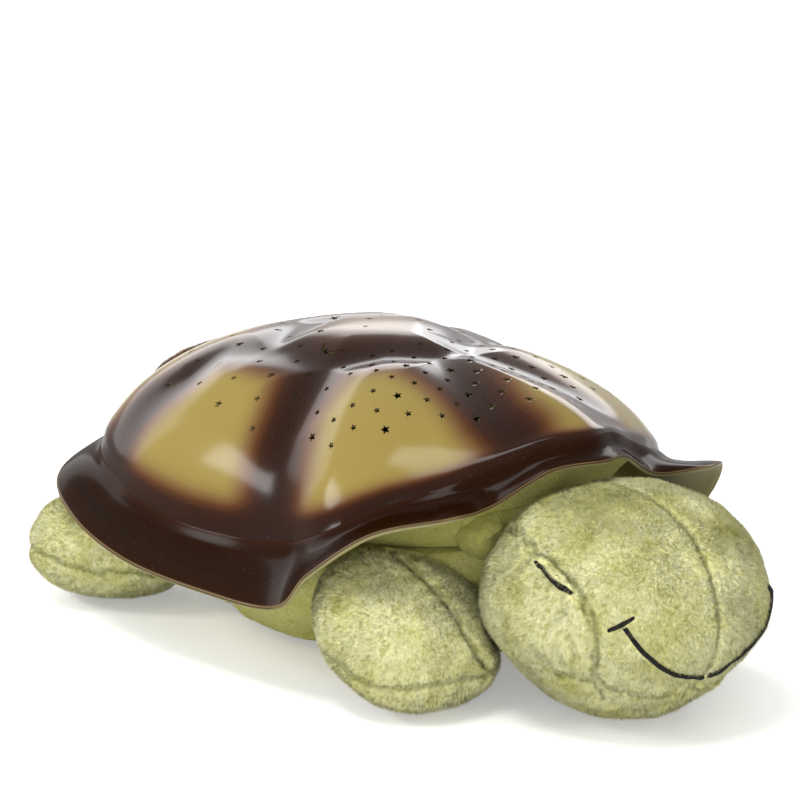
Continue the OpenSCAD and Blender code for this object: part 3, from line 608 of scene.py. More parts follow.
def stay_clear(points, centre, neighbours, gap=SOFT_GAP):
    """Draws points in towards the piece's own centre until they leave its neighbours."""
    reach = points - centre
    share = np.ones(len(points))
    for _ in range(DRAW_STEPS):
        place = centre + reach * share[:, None]
        caught = in_plate(place, gap) | (place[:, 2] < 0) | caught_by(place, neighbours, gap)
        if not caught.any():
            break
        share[caught] -= DRAW_IN
    return centre + reach * np.maximum(share, LEAST_SHARE)[:, None]


def lift_over(points, forms, gap):
    """Lifts points straight up until they lie above the forms."""
    for _ in range(LIFT_STEPS):
        caught = caught_by(points, forms, gap)
        if not caught.any():
            break
        points[caught, 2] += LIFT
    return points


# ---------- Stuffed pieces ----------

CLOTH_CAP = 0.005
CLOTH_STEPS = 18
CLOTH_SETTINGS = {
    "use_pressure": True,
    "uniform_pressure_force": 9,
    "shrink_min": -0.05,
    "tension_stiffness": 14,
    "compression_stiffness": 9,
    "quality": 5,
}
# Depth, wave and seed of the cloth's slow ripples
RIPPLES = [(0.0005, 0.031, 1.3), (0.0003, 0.012, 2.9)]
COVER_SIDES = 120
COVER_LEVELS = 70
COVER_GAP = SOFT_GAP + 0.002
PULL_WIDTH = 0.0015
PUCKER_PITCH = 0.0016
SEAM_WIDTH = 0.0011
CASE_ROOM = np.array([0.003, 0.003, 0.05])


def inflate(piece, held):
    """Blows the fabric out like a filled cover, while its seams stay where they are sewn."""
    before = points_of(piece)
    group = piece.vertex_groups.new(name="held_line")
    group.add(np.nonzero(held)[0].tolist(), 1.0, "REPLACE")
    cloth = piece.modifiers.new("filling", "CLOTH")
    for name, value in CLOTH_SETTINGS.items():
        setattr(cloth.settings, name, value)
    cloth.settings.effector_weights.gravity = 0
    cloth.settings.vertex_group_mass = group.name
    cloth.collision_settings.use_collision = False
    scene = bpy.context.scene
    for step in range(1, CLOTH_STEPS + 1):
        scene.frame_set(step)
    settle(piece)
    scene.frame_set(1)
    move = points_of(piece) - before
    move *= np.minimum(1, CLOTH_CAP / np.maximum(length_of(move), 1e-9))[:, None]
    move_points(piece, before + move)


def stuffed_piece(name, form, seams, neighbours, slack=0.003, voxel=0.0045, finer=2, pull=0.0018):
    """A filled cover from a soft form, blown out between its seams and then sewn along them."""
    points, faces = form.net(COVER_SIDES, COVER_LEVELS, slack)
    centre = form.centre
    piece = new_piece(name, stay_clear(points, centre, neighbours, COVER_GAP), faces)
    even_out(piece, voxel)
    points = points_of(piece)
    gap = np.full(len(points), 1.0)
    for seam in seams:
        gap = np.minimum(gap, path_distance(points, seam)[0])
    inflate(piece, gap < 0.6 * voxel)
    divide(piece, finer)
    points = points_of(piece)
    depth = sum(deep * ripple(points, wave, seed) for deep, wave, seed in RIPPLES)
    for k, seam in enumerate(seams):
        far, along = path_distance(points, laid_on(piece, seam))
        pucker = np.sin(along / PUCKER_PITCH + 2.2 * np.sin(along / 0.009 + k))
        depth -= pull * bell(far, PULL_WIDTH) - 0.3 * pull * bell(far - 0.0055, 0.004)
        depth += 0.2 * pull * pucker * bell(far - 0.0035, 0.0045)
    points = stay_clear(points + normals_of(piece) * depth[:, None], centre, neighbours)
    points[:, 2] = np.maximum(points[:, 2], FLOOR_GAP)
    move_points(piece, points)
    points = points_of(piece)
    # How near each point is to a seam, for the painted shade along the seam's crease
    sewn = np.zeros(len(points))
    for seam in seams:
        far = path_distance(points, laid_on(piece, seam))[0]
        sewn = np.maximum(sewn, bell(far, SEAM_WIDTH))
    store(piece, "sewn", sewn)
    smooth_shade(piece)
    return piece


def cut_pocket(piece):
    """Opens the torso from below for the battery case."""
    low, high = (np.array(corner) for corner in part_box("battery_case"))
    levels = list(zip(low - CASE_ROOM, high + CASE_ROOM))
    corners = [(x, y, z) for z in levels[2] for y in levels[1] for x in levels[0]]
    sides = [(0, 2, 3, 1), (4, 5, 7, 6), (0, 1, 5, 4), (2, 6, 7, 3), (0, 4, 6, 2), (1, 3, 7, 5)]
    cut_away(piece, new_piece("pocket_block", corners, sides), "EXACT")
    smooth_shade(piece)


def fold(piece, path, depth, width):
    """Raises or sinks the cloth along a path."""
    points = points_of(piece)
    gap, along = path_distance(points, laid_on(piece, path))
    along = along / max(along.max(), 1e-6)
    taper = ease(along, 0, 0.25) * (1 - ease(along, 0.75, 1)) * 0.75 + 0.25
    move_points(piece, points + normals_of(piece) * (depth * bell(gap, width) * taper)[:, None])


def on_surface(form, directions):
    return smooth_path(form.surface([np.array(d) * MM for d in directions]))


def other_side(path):
    return path * np.array([-1, 1, 1])


# Folds of the face: directions from the head's centre in millimetres, depth and width
FACE_FOLDS = [
    ([(52.5, 0, 30), (53.5, -8, 28.6), (54, -16, 26), (53.8, -22, 23.6), (53, -27, 21.4)], 0.0030, 0.0032),
    ([(53.9, -4.5, 27.2), (55.5, -11.7, 23.9), (55.6, -15.6, 22.3), (54.5, -23.9, 19.6)], -0.0020, 0.0018),
    ([(52, 3, 30.5), (54, 5, 27.5), (56, 6.5, 24.5), (58, 8, 20.5)], -0.0030, 0.0026),
    ([(56, -2, 25.5), (57.5, 0, 21), (58.5, 0, 16)], 0.0018, 0.0050),
    ([(60.3, -19, 3), (58.6, -23.6, 8.7), (56.4, -26.8, 12.7)], -0.0018, 0.0022),
    ([(55.5, -29.7, -12), (56.4, -30, -3.9), (57.3, -28, 2)], -0.0015, 0.0020),
    ([(57.4, -23.6, 14), (55.3, -29.7, 12), (53, -33, 14.5)], 0.0012, 0.0035),
    ([(59, -18, -14), (60.5, -14, -6), (60.5, -12, 2)], 0.0010, 0.0050),
    ([(57.5, -24, -18), (58.5, -22, -10), (58, -23, -3)], -0.0010, 0.0020),
]

# Directions from a limb's centre, in millimetres, on the turtle's left side
FLIPPER_TOP_SEAM = [
    (0, 34, 28), (0.6, 8.6, 33.6), (-0.8, -8.4, 27), (-3, -21.6, 19.4), (-5, -31, 12), (-7, -39, 0),
    (-10.7, -41, -7.6), (-15.6, -39, -15),
]
FLIPPER_SOLE_SEAM = [
    (42, 12, -9), (40, -9, -12.3), (33, -25, -17), (22, -36, -15.5), (7, -41, -14.6), (-16, -38.5, -15.8),
    (-27, -34, -14), (-38, -20, -13),
]
LEG_SEAM = [
    (36, 30, -2), (45, 12, 1), (45, 1.9, 1.1), (40, -17, -1.4), (31, -30, -4.4), (17, -41, -3.7),
    (4.3, -42.5, -8),
]


def on_limb(form, side, line):
    """A seam of a limb: the directions of its left twin, turned to the limb's own side."""
    return smooth_path(form.surface(np.array(line) * [side * MM, MM, MM]))


# ---------- Head ----------

CENTRE_SEAM = on_surface(HEAD, [
    (0, 40, 42), (0, 20, 49), (0, -8, 50), (0, -29, 45), (0, -43, 38), (0, -53, 29), (0, -62, 11),
    (0, -62, -7), (0, -57, -24), (0, -48, -36), (0, -30, -45),
])
CHEEK_SEAM = on_surface(HEAD, [
    (38, 42, 30), (44, 24, 33), (50, 6, 32), (53, -13, 28), (52.5, -28, 21), (52, -37, 9.5),
    (51, -39, -3.5), (50, -37, -14.5), (47, -35, -23), (41, -30, -34),
])
CHIN_SEAM = on_surface(HEAD, [
    (58, -14, -21), (49, -33, -22), (38, -41, -27), (26, -46, -30), (14, -49, -31.5), (0, -51, -32),
])


def make_head(seams):
    """The sleeping head, drawn in below, with a worn patch on its crown and the folds of its face."""
    head = stuffed_piece("sleeping_head", HEAD, seams, [], slack=0.002, pull=0.0013)
    local = points_of(head) - HEAD.centre
    local[:, :2] *= (0.98 - 0.13 * ease(-local[:, 2], 0.002, 0.038))[:, None]
    move_points(head, HEAD.centre + local)
    rubbed = ease(-local[:, 0], -0.0015, 0.002) * (1 - ease(-local[:, 0], 0.026, 0.040))
    rubbed = rubbed * bell(local[:, 1] - 0.004, 0.034) * ease(local[:, 2], 0.016, 0.034)
    rubbed = rubbed * (0.75 + 0.25 * ripple(points_of(head), 0.008, 4.2))
    store(head, "rubbed", np.clip(rubbed, 0, 1))
    for side, _ in SIDES:
        for directions, depth, width in FACE_FOLDS:
            fold(head, on_surface(HEAD, np.array(directions) * [side, 1, 1]), depth, width)
    return head


# ---------- Shell ----------


def loop_of(stations):
    """The closed loop, in metres, of the stations and of their twins on the other side."""
    other = [(-x, y, z) for x, y, z in stations[-2:0:-1]]
    return np.array(stations + other) * [SHELL_WIDTH / 2, SHELL_LENGTH, SHELL_HEIGHT] + [0, SHELL_FRONT, 0]


def on_plan(share):
    return np.array(share) * [SHELL_WIDTH / 2, SHELL_LENGTH] + [0, SHELL_FRONT]


RIM = loop_of(RIM_STATIONS)
BEAD = loop_of(BEAD_STATIONS)
GROOVE_LINES = [(on_plan(a), on_plan(b)) for line in GROOVES for a, b in zip(line, line[1:])]


def round_curve(loop, u):
    """The point at u on a closed smooth line through the loop's points."""
    k = np.floor(u).astype(int)
    a, b, c, d = (loop[(k + i) % FULL_TURN] for i in (-1, 0, 1, 2))
    return bend_through(a, b, c, d, (u - k)[..., None])


def groove_distance(plan):
    """How far places in plan are from the nearest groove between the plates."""
    q = np.stack([np.abs(plan[..., 0]), plan[..., 1]], axis=-1)
    nearest = np.full(q.shape[:-1], 1.0)
    for a, b in GROOVE_LINES:
        line = b - a
        share = np.clip((q - a) @ line / (line @ line), 0, 1)
        nearest = np.minimum(nearest, length_of(q - a - share[..., None] * line))
    return nearest


def shell_point(u, v):
    """A point of the shell: u runs round it, v from the top (0) to the bead (1) and the rim (2)."""
    u = np.asarray(u, float)
    v = np.asarray(v, float)
    foot = round_curve(BEAD, u)
    rim = round_curve(RIM, u)
    t = np.minimum(v, 1)
    s = np.maximum(v - 1, 0)
    front_full, rear_full = DOME_FULLNESS
    full = front_full + (rear_full - front_full) * (1 - np.cos(2 * np.pi * u / FULL_TURN)) / 2
    plan = APEX[:2] + t[..., None] * (foot[..., :2] - APEX[:2])
    rise = np.maximum(1 - t**full, 0) ** DOME_EDGE
    swell = PLATE_SWELL * (1 - bell(groove_distance(plan), GROOVE_REACH)) * (1 - t**9)
    dome_z = foot[..., 2] + (APEX[2] - foot[..., 2]) * rise + swell + BEAD_HEIGHT * bell(1 - t, 0.03)
    dome = np.concatenate([plan, dome_z[..., None]], axis=-1)
    brim = foot + s[..., None] * (rim - foot)
    brim[..., 2] += BEAD_HEIGHT * bell(s, 0.12) - BRIM_SAG * np.sin(np.pi * s) * (1 - s)
    return np.where((v <= 1)[..., None], dome, brim)


def shell_normal(u, v):
    """The way out of the shell at u and v."""
    along = shell_point(u + 0.05, v) - shell_point(u - 0.05, v)
    down = shell_point(u, np.minimum(2, v + 0.02)) - shell_point(u, np.maximum(v - 0.02, 0))
    return unit(np.cross(down, along))


SHELL_COLUMNS = 288
RIM_ROLL = 0.35
CUT_DEPTH = 0.005
TRAY_DEPTH = 0.040
SHARP_EDGE = math.radians(40)


def shell_rows(fine):
    dome = np.linspace(0, 1, 96 if fine else 34)[1:]
    brim = 1 + np.linspace(0, 1, 30 if fine else 12)[1:]
    return np.concatenate([dome, brim])


def shell_net(fine):
    """The net's places round and down the shell, and the points and the ways out there."""
    around = np.arange(SHELL_COLUMNS) * FULL_TURN / SHELL_COLUMNS
    v, u = np.meshgrid(shell_rows(fine), around, indexing="ij")
    return v, shell_point(u, v), shell_normal(u, v)


def shell_skin():
    """The whole shell without its stars: outer side, inner side and the rolled rim between them."""
    n = SHELL_COLUMNS
    outer = shell_net(True)[1].reshape(-1, 3)
    _, inner, lift = shell_net(False)
    inner = inner - SHELL_WALL * lift
    edge_u = np.arange(n) * FULL_TURN / n
    edge = shell_point(edge_u, np.full(n, 2.0))
    away = unit(edge - shell_point(edge_u, np.full(n, 1.96)))
    normal = shell_normal(edge_u, np.full(n, 2.0))
    roll = np.concatenate(
        [edge + away * SHELL_WALL * RIM_ROLL * math.sin(a) - normal * SHELL_WALL * (1 - math.cos(a)) / 2
         for a in (math.pi * 0.25, math.pi * 0.5, math.pi * 0.75)]
    )
    top_point = shell_point(0.0, 0.0)
    poles = [top_point, top_point - [0, 0, SHELL_WALL]]
    points = np.concatenate([outer, roll, inner[::-1].reshape(-1, 3), poles])
    rows = (len(points) - 2) // n
    faces = [f[::-1] for f in net_faces(n, rows, closed=False)]
    top, low = rows * n, rows * n + 1
    last = (rows - 1) * n
    for i in range(n):
        k = (i + 1) % n
        faces.append((top, i, k))
        faces.append((low, last + k, last + i))
    return points, faces


GOLDEN_TURN = 0.618034
FIRST_TURN = 0.31
STARS_FROM = 0.09
STARS_REACH = 0.72
STARS_SPREAD = 0.58
LARGE_STAR = 1.3
STARS_APART = 1.6 * STAR_SIZE
STAR_POINT = 0.5
STAR_NOTCH = 0.24


def star_spots():
    """Where the stars are, on a spiral from the top down, and how large each is."""
    spots = []
    post_places = [shell_point(u % FULL_TURN, t)[:2] for u, t in POST_SPOTS]
    moon_place = shell_point(*MOON_SPOT)[:2]
    places = []
    for i in range(STAR_COUNT):
        u = FULL_TURN * ((i * GOLDEN_TURN + FIRST_TURN) % 1)
        t = STARS_FROM + STARS_REACH * ((i + 0.5) / STAR_COUNT) ** STARS_SPREAD
        size = (LARGE_STAR if i % 5 == 0 else 1) * STAR_SIZE
        place = shell_point(u, t)
        clear = min(np.linalg.norm(place[:2] - p) for p in post_places) > POST_RADIUS + size
        apart = min([1.0] + [np.linalg.norm(place[:2] - p[:2]) for p in places]) > STARS_APART
        places.append(place)
        if clear and apart and np.linalg.norm(place[:2] - moon_place) > MOON_RADIUS + STAR_SIZE:
            spots.append((place, size))
    return spots


def star_outline():
    """A star of five points, one unit across."""
    outline = []
    for k in range(10):
        reach = STAR_NOTCH if k % 2 else STAR_POINT
        a = math.radians(36 * k)
        outline.append((reach * math.cos(a), reach * math.sin(a)))
    return outline


def moon_outline():
    """A crescent: an outer arc, and back along the arc of a second circle that bites into it."""
    bite, shift = 1.1, 0.46
    cross_x = (1 - bite**2 + shift**2) / (2 * shift)
    cross_y = math.sqrt(1 - cross_x**2)
    start = math.atan2(cross_y, cross_x)
    inner = math.atan2(cross_y, cross_x - shift)
    outer_arc = np.linspace(start, 2 * math.pi - start, 28)
    inner_arc = np.linspace(2 * math.pi - inner, inner, 24)[1:-1]
    line = [(math.cos(a), math.sin(a)) for a in outer_arc]
    line += [(shift + bite * math.cos(a), bite * math.sin(a)) for a in inner_arc]
    return [(-MOON_RADIUS * x, -MOON_RADIUS * y) for x, y in line]


def scatter_tree():
    """Sets one cutter on each point, turned away from the lamp and scaled to the point's size."""
    tree = ShapeTree("stars_on_rays", {"Lamp centre": "Vector", "Cutter": "Object", "Finish": "Material"})
    turn = tree.aligned("Z", tree.vector("SUBTRACT", tree.place, tree.inputs["Lamp centre"]))
    return tree.stand(tree.points(), tree.shape("Cutter"), turn, tree.held("size"))


def star_cutters(finish):
    spots = star_spots()
    base = new_piece("star_places", [p for p, _ in spots], [])
    store(base, "size", [s for _, s in spots])
    shape = new_piece("star_shape", *prism(star_outline(), -1.0, 1.0))
    run_tree(base, scatter_tree(), {"Lamp centre": Vector(LAMP_CENTRE), "Cutter": shape, "Finish": finish})
    bpy.data.objects.remove(shape)
    return base


def moon_cutter():
    place = shell_point(*MOON_SPOT)
    piece = new_piece("moon_cutter", *prism(moon_outline(), -CUT_DEPTH, CUT_DEPTH))
    out = unit(place - LAMP_CENTRE)
    across = unit(np.array([-out[1], out[0], 0]))
    move_points(piece, points_of(piece) @ np.array([np.cross(across, out), across, out]) + place)
    return piece


def pad_axes():
    """The control pad's own frame: its place and its three directions."""
    place = BEAD[HALF_TURN] + np.array([0, -0.005, 0.004])
    c, s = math.cos(PAD_TILT), math.sin(PAD_TILT)
    return place, np.array([[1, 0, 0], [0, c, -s], [0, s, c]])


def tray_cutter():
    """A round-ended block along the control pad, for the button tray."""
    angles = np.linspace(-math.pi / 2, math.pi / 2, 16)
    right = [(TRAY_REACH + TRAY_RADIUS * math.cos(a), TRAY_RADIUS * math.sin(a)) for a in angles]
    left = [(-x, -y) for x, y in right]
    piece = new_piece("tray_cutter", *prism(right + left, -TRAY_DEPTH, TRAY_DEPTH))
    place, axes = pad_axes()
    move_points(piece, points_of(piece) @ axes + place)
    return piece


def make_shell(gloss, star_wall):
    """The shell, pierced by the stars, the moon and the slot of the button tray."""
    shell = new_piece("star_shell", *shell_skin())
    fix_outside(shell)
    shell.data.materials.append(gloss)
    for cutter in (star_cutters(star_wall), moon_cutter(), tray_cutter()):
        cut_away(shell, cutter)
    paint_shell(shell)
    smooth_shade(shell)
    shell.data.set_sharp_from_angle(angle=SHARP_EDGE)
    return shell


def paint_shell(shell):
    """Stores how the shell's colour runs: the glow of each plate, the brim and the inner side."""
    v, outer, lift = shell_net(True)
    flat_gap = groove_distance(outer[..., :2] - [0, 0.005]).ravel()
    flat_v = v.ravel()
    flat_lift = lift.reshape(-1, 3)
    flat_outer = outer.reshape(-1, 3)
    tree = KDTree(len(flat_outer))
    for i, p in enumerate(flat_outer):
        tree.insert(p, i)
    tree.balance()
    points = points_of(shell)
    down = np.empty(len(points))
    groove = np.empty(len(points))
    below = np.empty(len(points))
    for i, p in enumerate(points):
        found = tree.find_n(p, 3)
        weight = np.array([1 / (f[2] + 1e-6) for f in found])
        weight /= weight.sum()
        index = [f[1] for f in found]
        down[i] = flat_v[index] @ weight
        groove[i] = flat_gap[index] @ weight
        below[i] = (p - flat_outer[index[0]]) @ flat_lift[index[0]]
    t = np.minimum(down, 1)
    near_foot = 1 - bell(1 - t, 0.034)
    plate_width = 0.043 - 0.012 * ease(t, 0.3, 0.75)
    share = groove / plate_width
    glow = np.sqrt(ease(share, -0.2, 1)) * ease(share, 0, 0.9) * near_foot
    glow = glow * (0.62 + 0.38 * ease(t, 0.25, 0.6))
    store(shell, "plate_glow", glow)
    store(shell, "brim", np.clip(down - 1, 0, 1))
    store(shell, "inside", ease(-below, 0.0004, 0.0012))


# ---------- Materials ----------

# Painted shade in the crease along each seam
SEAM_CREASE_SHADOW = "#5f632b"
# Colour of the worn pile on the head's crown, also used as painted shade on the skirt, collar and torso
WEAR_AND_SHADOW_COLOUR = "#a3a04e"


class Finish(NodeTree):
    """A material with a soft or hard surface, built step by step."""

    def __init__(self, name, rough=0.5, metal=0.0):
        self.material = bpy.data.materials.new(name)
        self.material.use_nodes = True
        super().__init__(self.material.node_tree)
        self.surface = self.tree.nodes["Principled BSDF"]
        self.place = self.add("ShaderNodeTexCoord").outputs["Object"]
        self.put({"Roughness": rough, "Metallic": metal})

    def put(self, given):
        for name, value in given.items():
            self.give(self.surface.inputs[name], value)

    def colour(self, value):
        self.put({"Base Color": value})

    def grain(self, scale, detail=3, rough=0.55):
        return self.noise(self.place, scale, detail, rough)["Fac"]

    def cells(self, scale):
        return self.add("ShaderNodeTexVoronoi", {"Vector": self.place, "Scale": scale}).outputs["Distance"]

    def held(self, name):
        return self.add("ShaderNodeAttribute", attribute_name=name).outputs["Fac"]

    def ramp(self, value, stops):
        made = self.add("ShaderNodeValToRGB", {"Fac": value})
        ramp = made.color_ramp
        while len(ramp.elements) < len(stops):
            ramp.elements.new(0.5)
        for element, (place, code) in zip(ramp.elements, stops):
            element.position = place
            element.color = tone(code) if isinstance(code, str) else (code, code, code, 1)
        return made.outputs["Color"]

    def blend(self, share, a, b, way="MIX"):
        given = {0: share, 6: a, 7: b}
        return self.add("ShaderNodeMix", given, data_type="RGBA", blend_type=way).outputs[2]

    def roughness(self, value, low, high):
        spread = self.add("ShaderNodeMapRange", {"Value": value, "To Min": low, "To Max": high})
        self.put({"Roughness": spread.outputs["Result"]})

    def bumps(self, *layers):
        """Adds layers of relief, each a height, how deep it is in metres and how strong."""
        last = {}
        for height, depth, strength in layers:
            given = {"Strength": strength, "Distance": depth, "Height": height, **last}
            last = {"Normal": self.add("ShaderNodeBump", given).outputs["Normal"]}
        self.put(last)


def shell_gloss():
    f = Finish("glossy_shell", rough=0.32)
    cloud = f.grain(26, 3)
    speck = f.grain(1900, 2)
    drift = f.maths("MULTIPLY", f.maths("SUBTRACT", cloud, 0.5), 0.10)
    plates = f.ramp(f.maths("ADD", f.held("plate_glow"), drift), [
        (0.0, "#220e04"), (0.16, "#321706"), (0.34, "#4c2c14"), (0.5, "#614322"),
        (0.66, "#6f5630"), (0.82, "#7d6936"), (1.0, "#89773c"),
    ])
    brim = f.ramp(f.held("brim"), [
        (0.0, "#2c1406"), (0.10, "#200d03"), (0.55, "#1c0b02"), (0.97, "#231003"), (0.99, "#4c3a26"),
        (1.0, "#7d6a49"),
    ])
    on_brim = f.maths("GREATER_THAN", f.held("brim"), 0.004)
    outer = f.blend(on_brim, plates, brim)
    dust = f.maths("MULTIPLY", f.maths("GREATER_THAN", speck, 0.735), 0.35)
    outer = f.blend(dust, outer, "#b9ab98")
    under = f.blend(f.maths("MULTIPLY", cloud, 0.35), "#8d8660", "#6f6543")
    f.colour(f.blend(f.held("inside"), outer, under))
    coat = f.ramp(on_brim, [(0.0, 0.8), (1.0, 0.3)])
    f.put({"Coat Weight": coat, "Coat Roughness": 0.16, "Coat IOR": 1.24, "Specular IOR Level": 0.0})
    f.roughness(cloud, 0.26, 0.38)
    f.bumps((f.grain(900, 2), 0.00004, 0.2), (cloud, 0.0006, 0.12))
    return f.material


def plush(name, light, mid, dark, pile=False):
    """Short plush: the cloth itself, or the fibres that stand on it."""
    f = Finish(name, rough=0.9)
    brushed = f.grain(48, 4, 0.62)
    fine = f.grain(900, 3, 0.6)
    patches = f.grain(11, 2)
    crush = f.grain(CRUSH_SCALE, 2, 0.5)
    base = f.ramp(brushed, [(0.28, dark), (0.40, mid), (0.56, light)])
    base = f.blend(f.maths("MULTIPLY", f.maths("SUBTRACT", patches, 0.35), 0.6), base, mid)
    base = f.blend(f.ramp(crush, [(0.34, 0.7), (0.48, 0.0)]), base, dark)
    # Darker where the pile is worn on the head's crown, and painted shade on the skirt, collar and torso
    # under the shell
    base = f.blend(f.maths("MULTIPLY", f.held("rubbed"), 0.85), base, WEAR_AND_SHADOW_COLOUR)
    hair = f.ramp(fine, [(0.30, 0.62), (0.66, 1.0)])
    base = f.blend(0.45 if pile else 0.75, base, hair, "MULTIPLY")
    if pile:
        # Painted shade: each fibre is darker towards its root, deep in the pile
        tip = f.ramp(f.held("tip"), [(0.0, 0.86), (0.5, 1.0), (1.0, 1.0)])
        base = f.blend(1.0, base, tip, "MULTIPLY")
        out = f.add("ShaderNodeAttribute", attribute_name="skin_out")
        f.put({"Normal": out.outputs["Vector"]})
    else:
        weave = (f.grain(420, 4, 0.7), 0.0011, 0.7)
        f.bumps(weave, (f.cells(150), 0.0008, 0.25), (fine, 0.0004, 0.6))
    # Painted shade: darker along the seams, where the cloth is drawn into a crease
    f.colour(f.blend(f.maths("MULTIPLY", f.held("sewn"), 0.8), base, SEAM_CREASE_SHADOW))
    f.put({"Sheen Weight": 0.14, "Sheen Roughness": 0.45, "Sheen Tint": light, "Specular IOR Level": 0.12})
    return f.material


def moulded(name, code, rough=0.42):
    """Moulded plastic with a fine spark texture."""
    f = Finish(name, rough)
    cloud = f.grain(60, 2)
    dark = [c * 0.8 for c in tone(code)[:3]]
    f.colour(f.blend(cloud, code, (*dark, 1)))
    f.roughness(cloud, rough - 0.06, rough + 0.08)
    f.bumps((f.grain(1500, 2), 0.00005, 0.5))
    return f.material


def clear_plastic():
    f = Finish("clear_cover", rough=0.08)
    haze = f.grain(120, 2)
    f.colour(f.ramp(haze, [(0.3, "#e6ecee"), (0.7, "#f4f7f8")]))
    f.put({"Transmission Weight": 0.9, "IOR": 1.49})
    f.roughness(haze, 0.05, 0.14)
    return f.material


def turned_steel():
    f = Finish("screw_steel", rough=0.28, metal=1.0)
    f.colour(f.ramp(f.grain(700, 2), [(0.3, "#a9abad"), (0.7, "#c9cbcc")]))
    f.roughness(f.grain(1400, 2), 0.2, 0.42)
    f.bumps((f.grain(2600, 1), 0.00003, 0.4))
    return f.material


def circuit_board():
    f = Finish("green_board", rough=0.35)
    tracks = f.add("ShaderNodeTexBrick", {
        "Vector": f.place, "Scale": 260, "Mortar Size": 0.05,
        "Color1": "#235a36", "Color2": "#28643d", "Mortar": "#3f7f55",
    }).outputs
    f.colour(tracks["Color"])
    f.put({"Coat Weight": 0.4})
    f.bumps((tracks["Fac"], 0.00008, 0.4))
    return f.material


def cell_jacket():
    f = Finish("battery_jacket", rough=0.25, metal=0.55)
    along = f.add("ShaderNodeSeparateXYZ", {0: f.place}).outputs["Y"]
    band = f.maths("GREATER_THAN", along, SHELL_MIDDLE + 0.008)
    f.colour(f.blend(band, f.blend(f.grain(40), "#1f2023", "#2b2c30"), "#b5793a"))
    f.roughness(f.grain(300), 0.18, 0.34)
    return f.material


def wire_jacket():
    f = Finish("wire_jacket", rough=0.5)
    f.colour(f.ramp(f.grain(200, 2), [(0.3, "#7d1c18"), (0.7, "#98251f")]))
    f.bumps((f.grain(2200, 1), 0.00003, 0.4))
    return f.material


def satin_thread():
    f = Finish("black_thread", rough=0.45)
    f.colour(f.ramp(f.grain(2400, 2), [(0.3, "#08070a"), (0.7, "#151316")]))
    f.put({"Specular IOR Level": 0.2})
    f.bumps((f.grain(3600, 1), 0.00004, 0.5))
    return f.material


def loop_strip(name, light, dark):
    """The hooks or loops of a fastening strip, in close rows."""
    f = Finish(name, rough=0.8)
    rows = f.add("ShaderNodeTexWave", {"Vector": f.place, "Scale": 220, "Distortion": 1.5}).outputs["Fac"]
    f.colour(f.blend(rows, light, dark))
    f.bumps((rows, 0.0004, 0.6), (f.cells(900), 0.0003, 0.8))
    return f.material


# ---------- Pile ----------

BLADE_HEIGHT = 1.5
DRIFT_SCALE = 38
DRIFT_REACH = 1.9
SPIN_SEED = 5
CRUSH_SEED = 11
CRUSH_REACH = 1.25
PLUSH_DENSITY = 4.2e6
PLUSH_SEED = 11
PAD_DENSITY = 5e6
PAD_SEED = 41
SEAM_BARE = 0.0009
MOUTH_BARE = 0.0020
EYE_BARE = 0.0028
TICK_BARE = 0.0024


def pile_tree():
    """Short fibres over a surface, combed one way in drifting patches."""
    tree = ShapeTree("short_pile", {
        "Fibres per area": "Float", "Fibre length": "Float", "Fibre width": "Float",
        "Comb": "Vector", "Seed": "Int", "Finish": "Material",
    })
    given = tree.inputs
    roots = tree.add("GeometryNodeDistributePointsOnFaces", {
        "Mesh": given["Geometry"],
        "Density": tree.maths("MULTIPLY", given["Fibres per area"], tree.held("cover")),
        "Seed": given["Seed"],
    }).outputs

    lean = tree.vector("ADD", given["Comb"], tree.drift(DRIFT_SCALE, DRIFT_REACH))
    lean = tree.vector("ADD", lean, tree.stray(0.42, given["Seed"]))
    lean = tree.vector("ADD", lean, roots["Normal"])
    spin = tree.random((0, 0, 0), (0, 0, 6.28), SPIN_SEED)
    first = tree.add("FunctionNodeEulerToRotation", {0: spin}).outputs[0]
    turn = tree.aligned("Z", lean, {"Rotation": first})

    blade = tree.add("GeometryNodeMeshCircle", {"Vertices": 3, "Radius": 1}, fill_type="NGON")
    stood = tree.add("GeometryNodeTransform", {
        "Geometry": blade.outputs["Mesh"], "Translation": (0, 0, 0.5), "Rotation": (0, -math.pi / 2, 0),
    })
    height = tree.add("ShaderNodeSeparateXYZ", {0: tree.place}).outputs["Z"]
    marked = tree.keep(stood.outputs["Geometry"], "tip", tree.maths("DIVIDE", height, BLADE_HEIGHT))
    extent = tree.add("ShaderNodeCombineXYZ", {
        "X": given["Fibre width"], "Y": given["Fibre width"],
        "Z": tree.maths("DIVIDE", given["Fibre length"], BLADE_HEIGHT),
    }).outputs[0]
    fibre = tree.add("GeometryNodeTransform", {"Geometry": marked, "Scale": extent}).outputs["Geometry"]

    crushed = tree.vector("ADD", tree.drift(CRUSH_SCALE, CRUSH_REACH), roots["Normal"])
    crushed = tree.vector("ADD", crushed, tree.stray(0.4, CRUSH_SEED))
    crushed = tree.vector("NORMALIZE", crushed)
    points = tree.keep(roots["Points"], "skin_out", crushed, "FLOAT_VECTOR")
    scale = tree.add("FunctionNodeRandomValue", {2: 0.7, 3: 1.2}, data_type="FLOAT").outputs[1]
    return tree.stand(points, fibre, turn, scale)


def hidden_by_shell(points):
    """1 well inside the shell's rim and high under it, where no pile is seen."""
    inner = (points[:, 0] / 0.105) ** 2 + ((points[:, 1] - 0.034) / 0.125) ** 2
    return ease(points[:, 2], 0.050, 0.056) * (inner < 1)


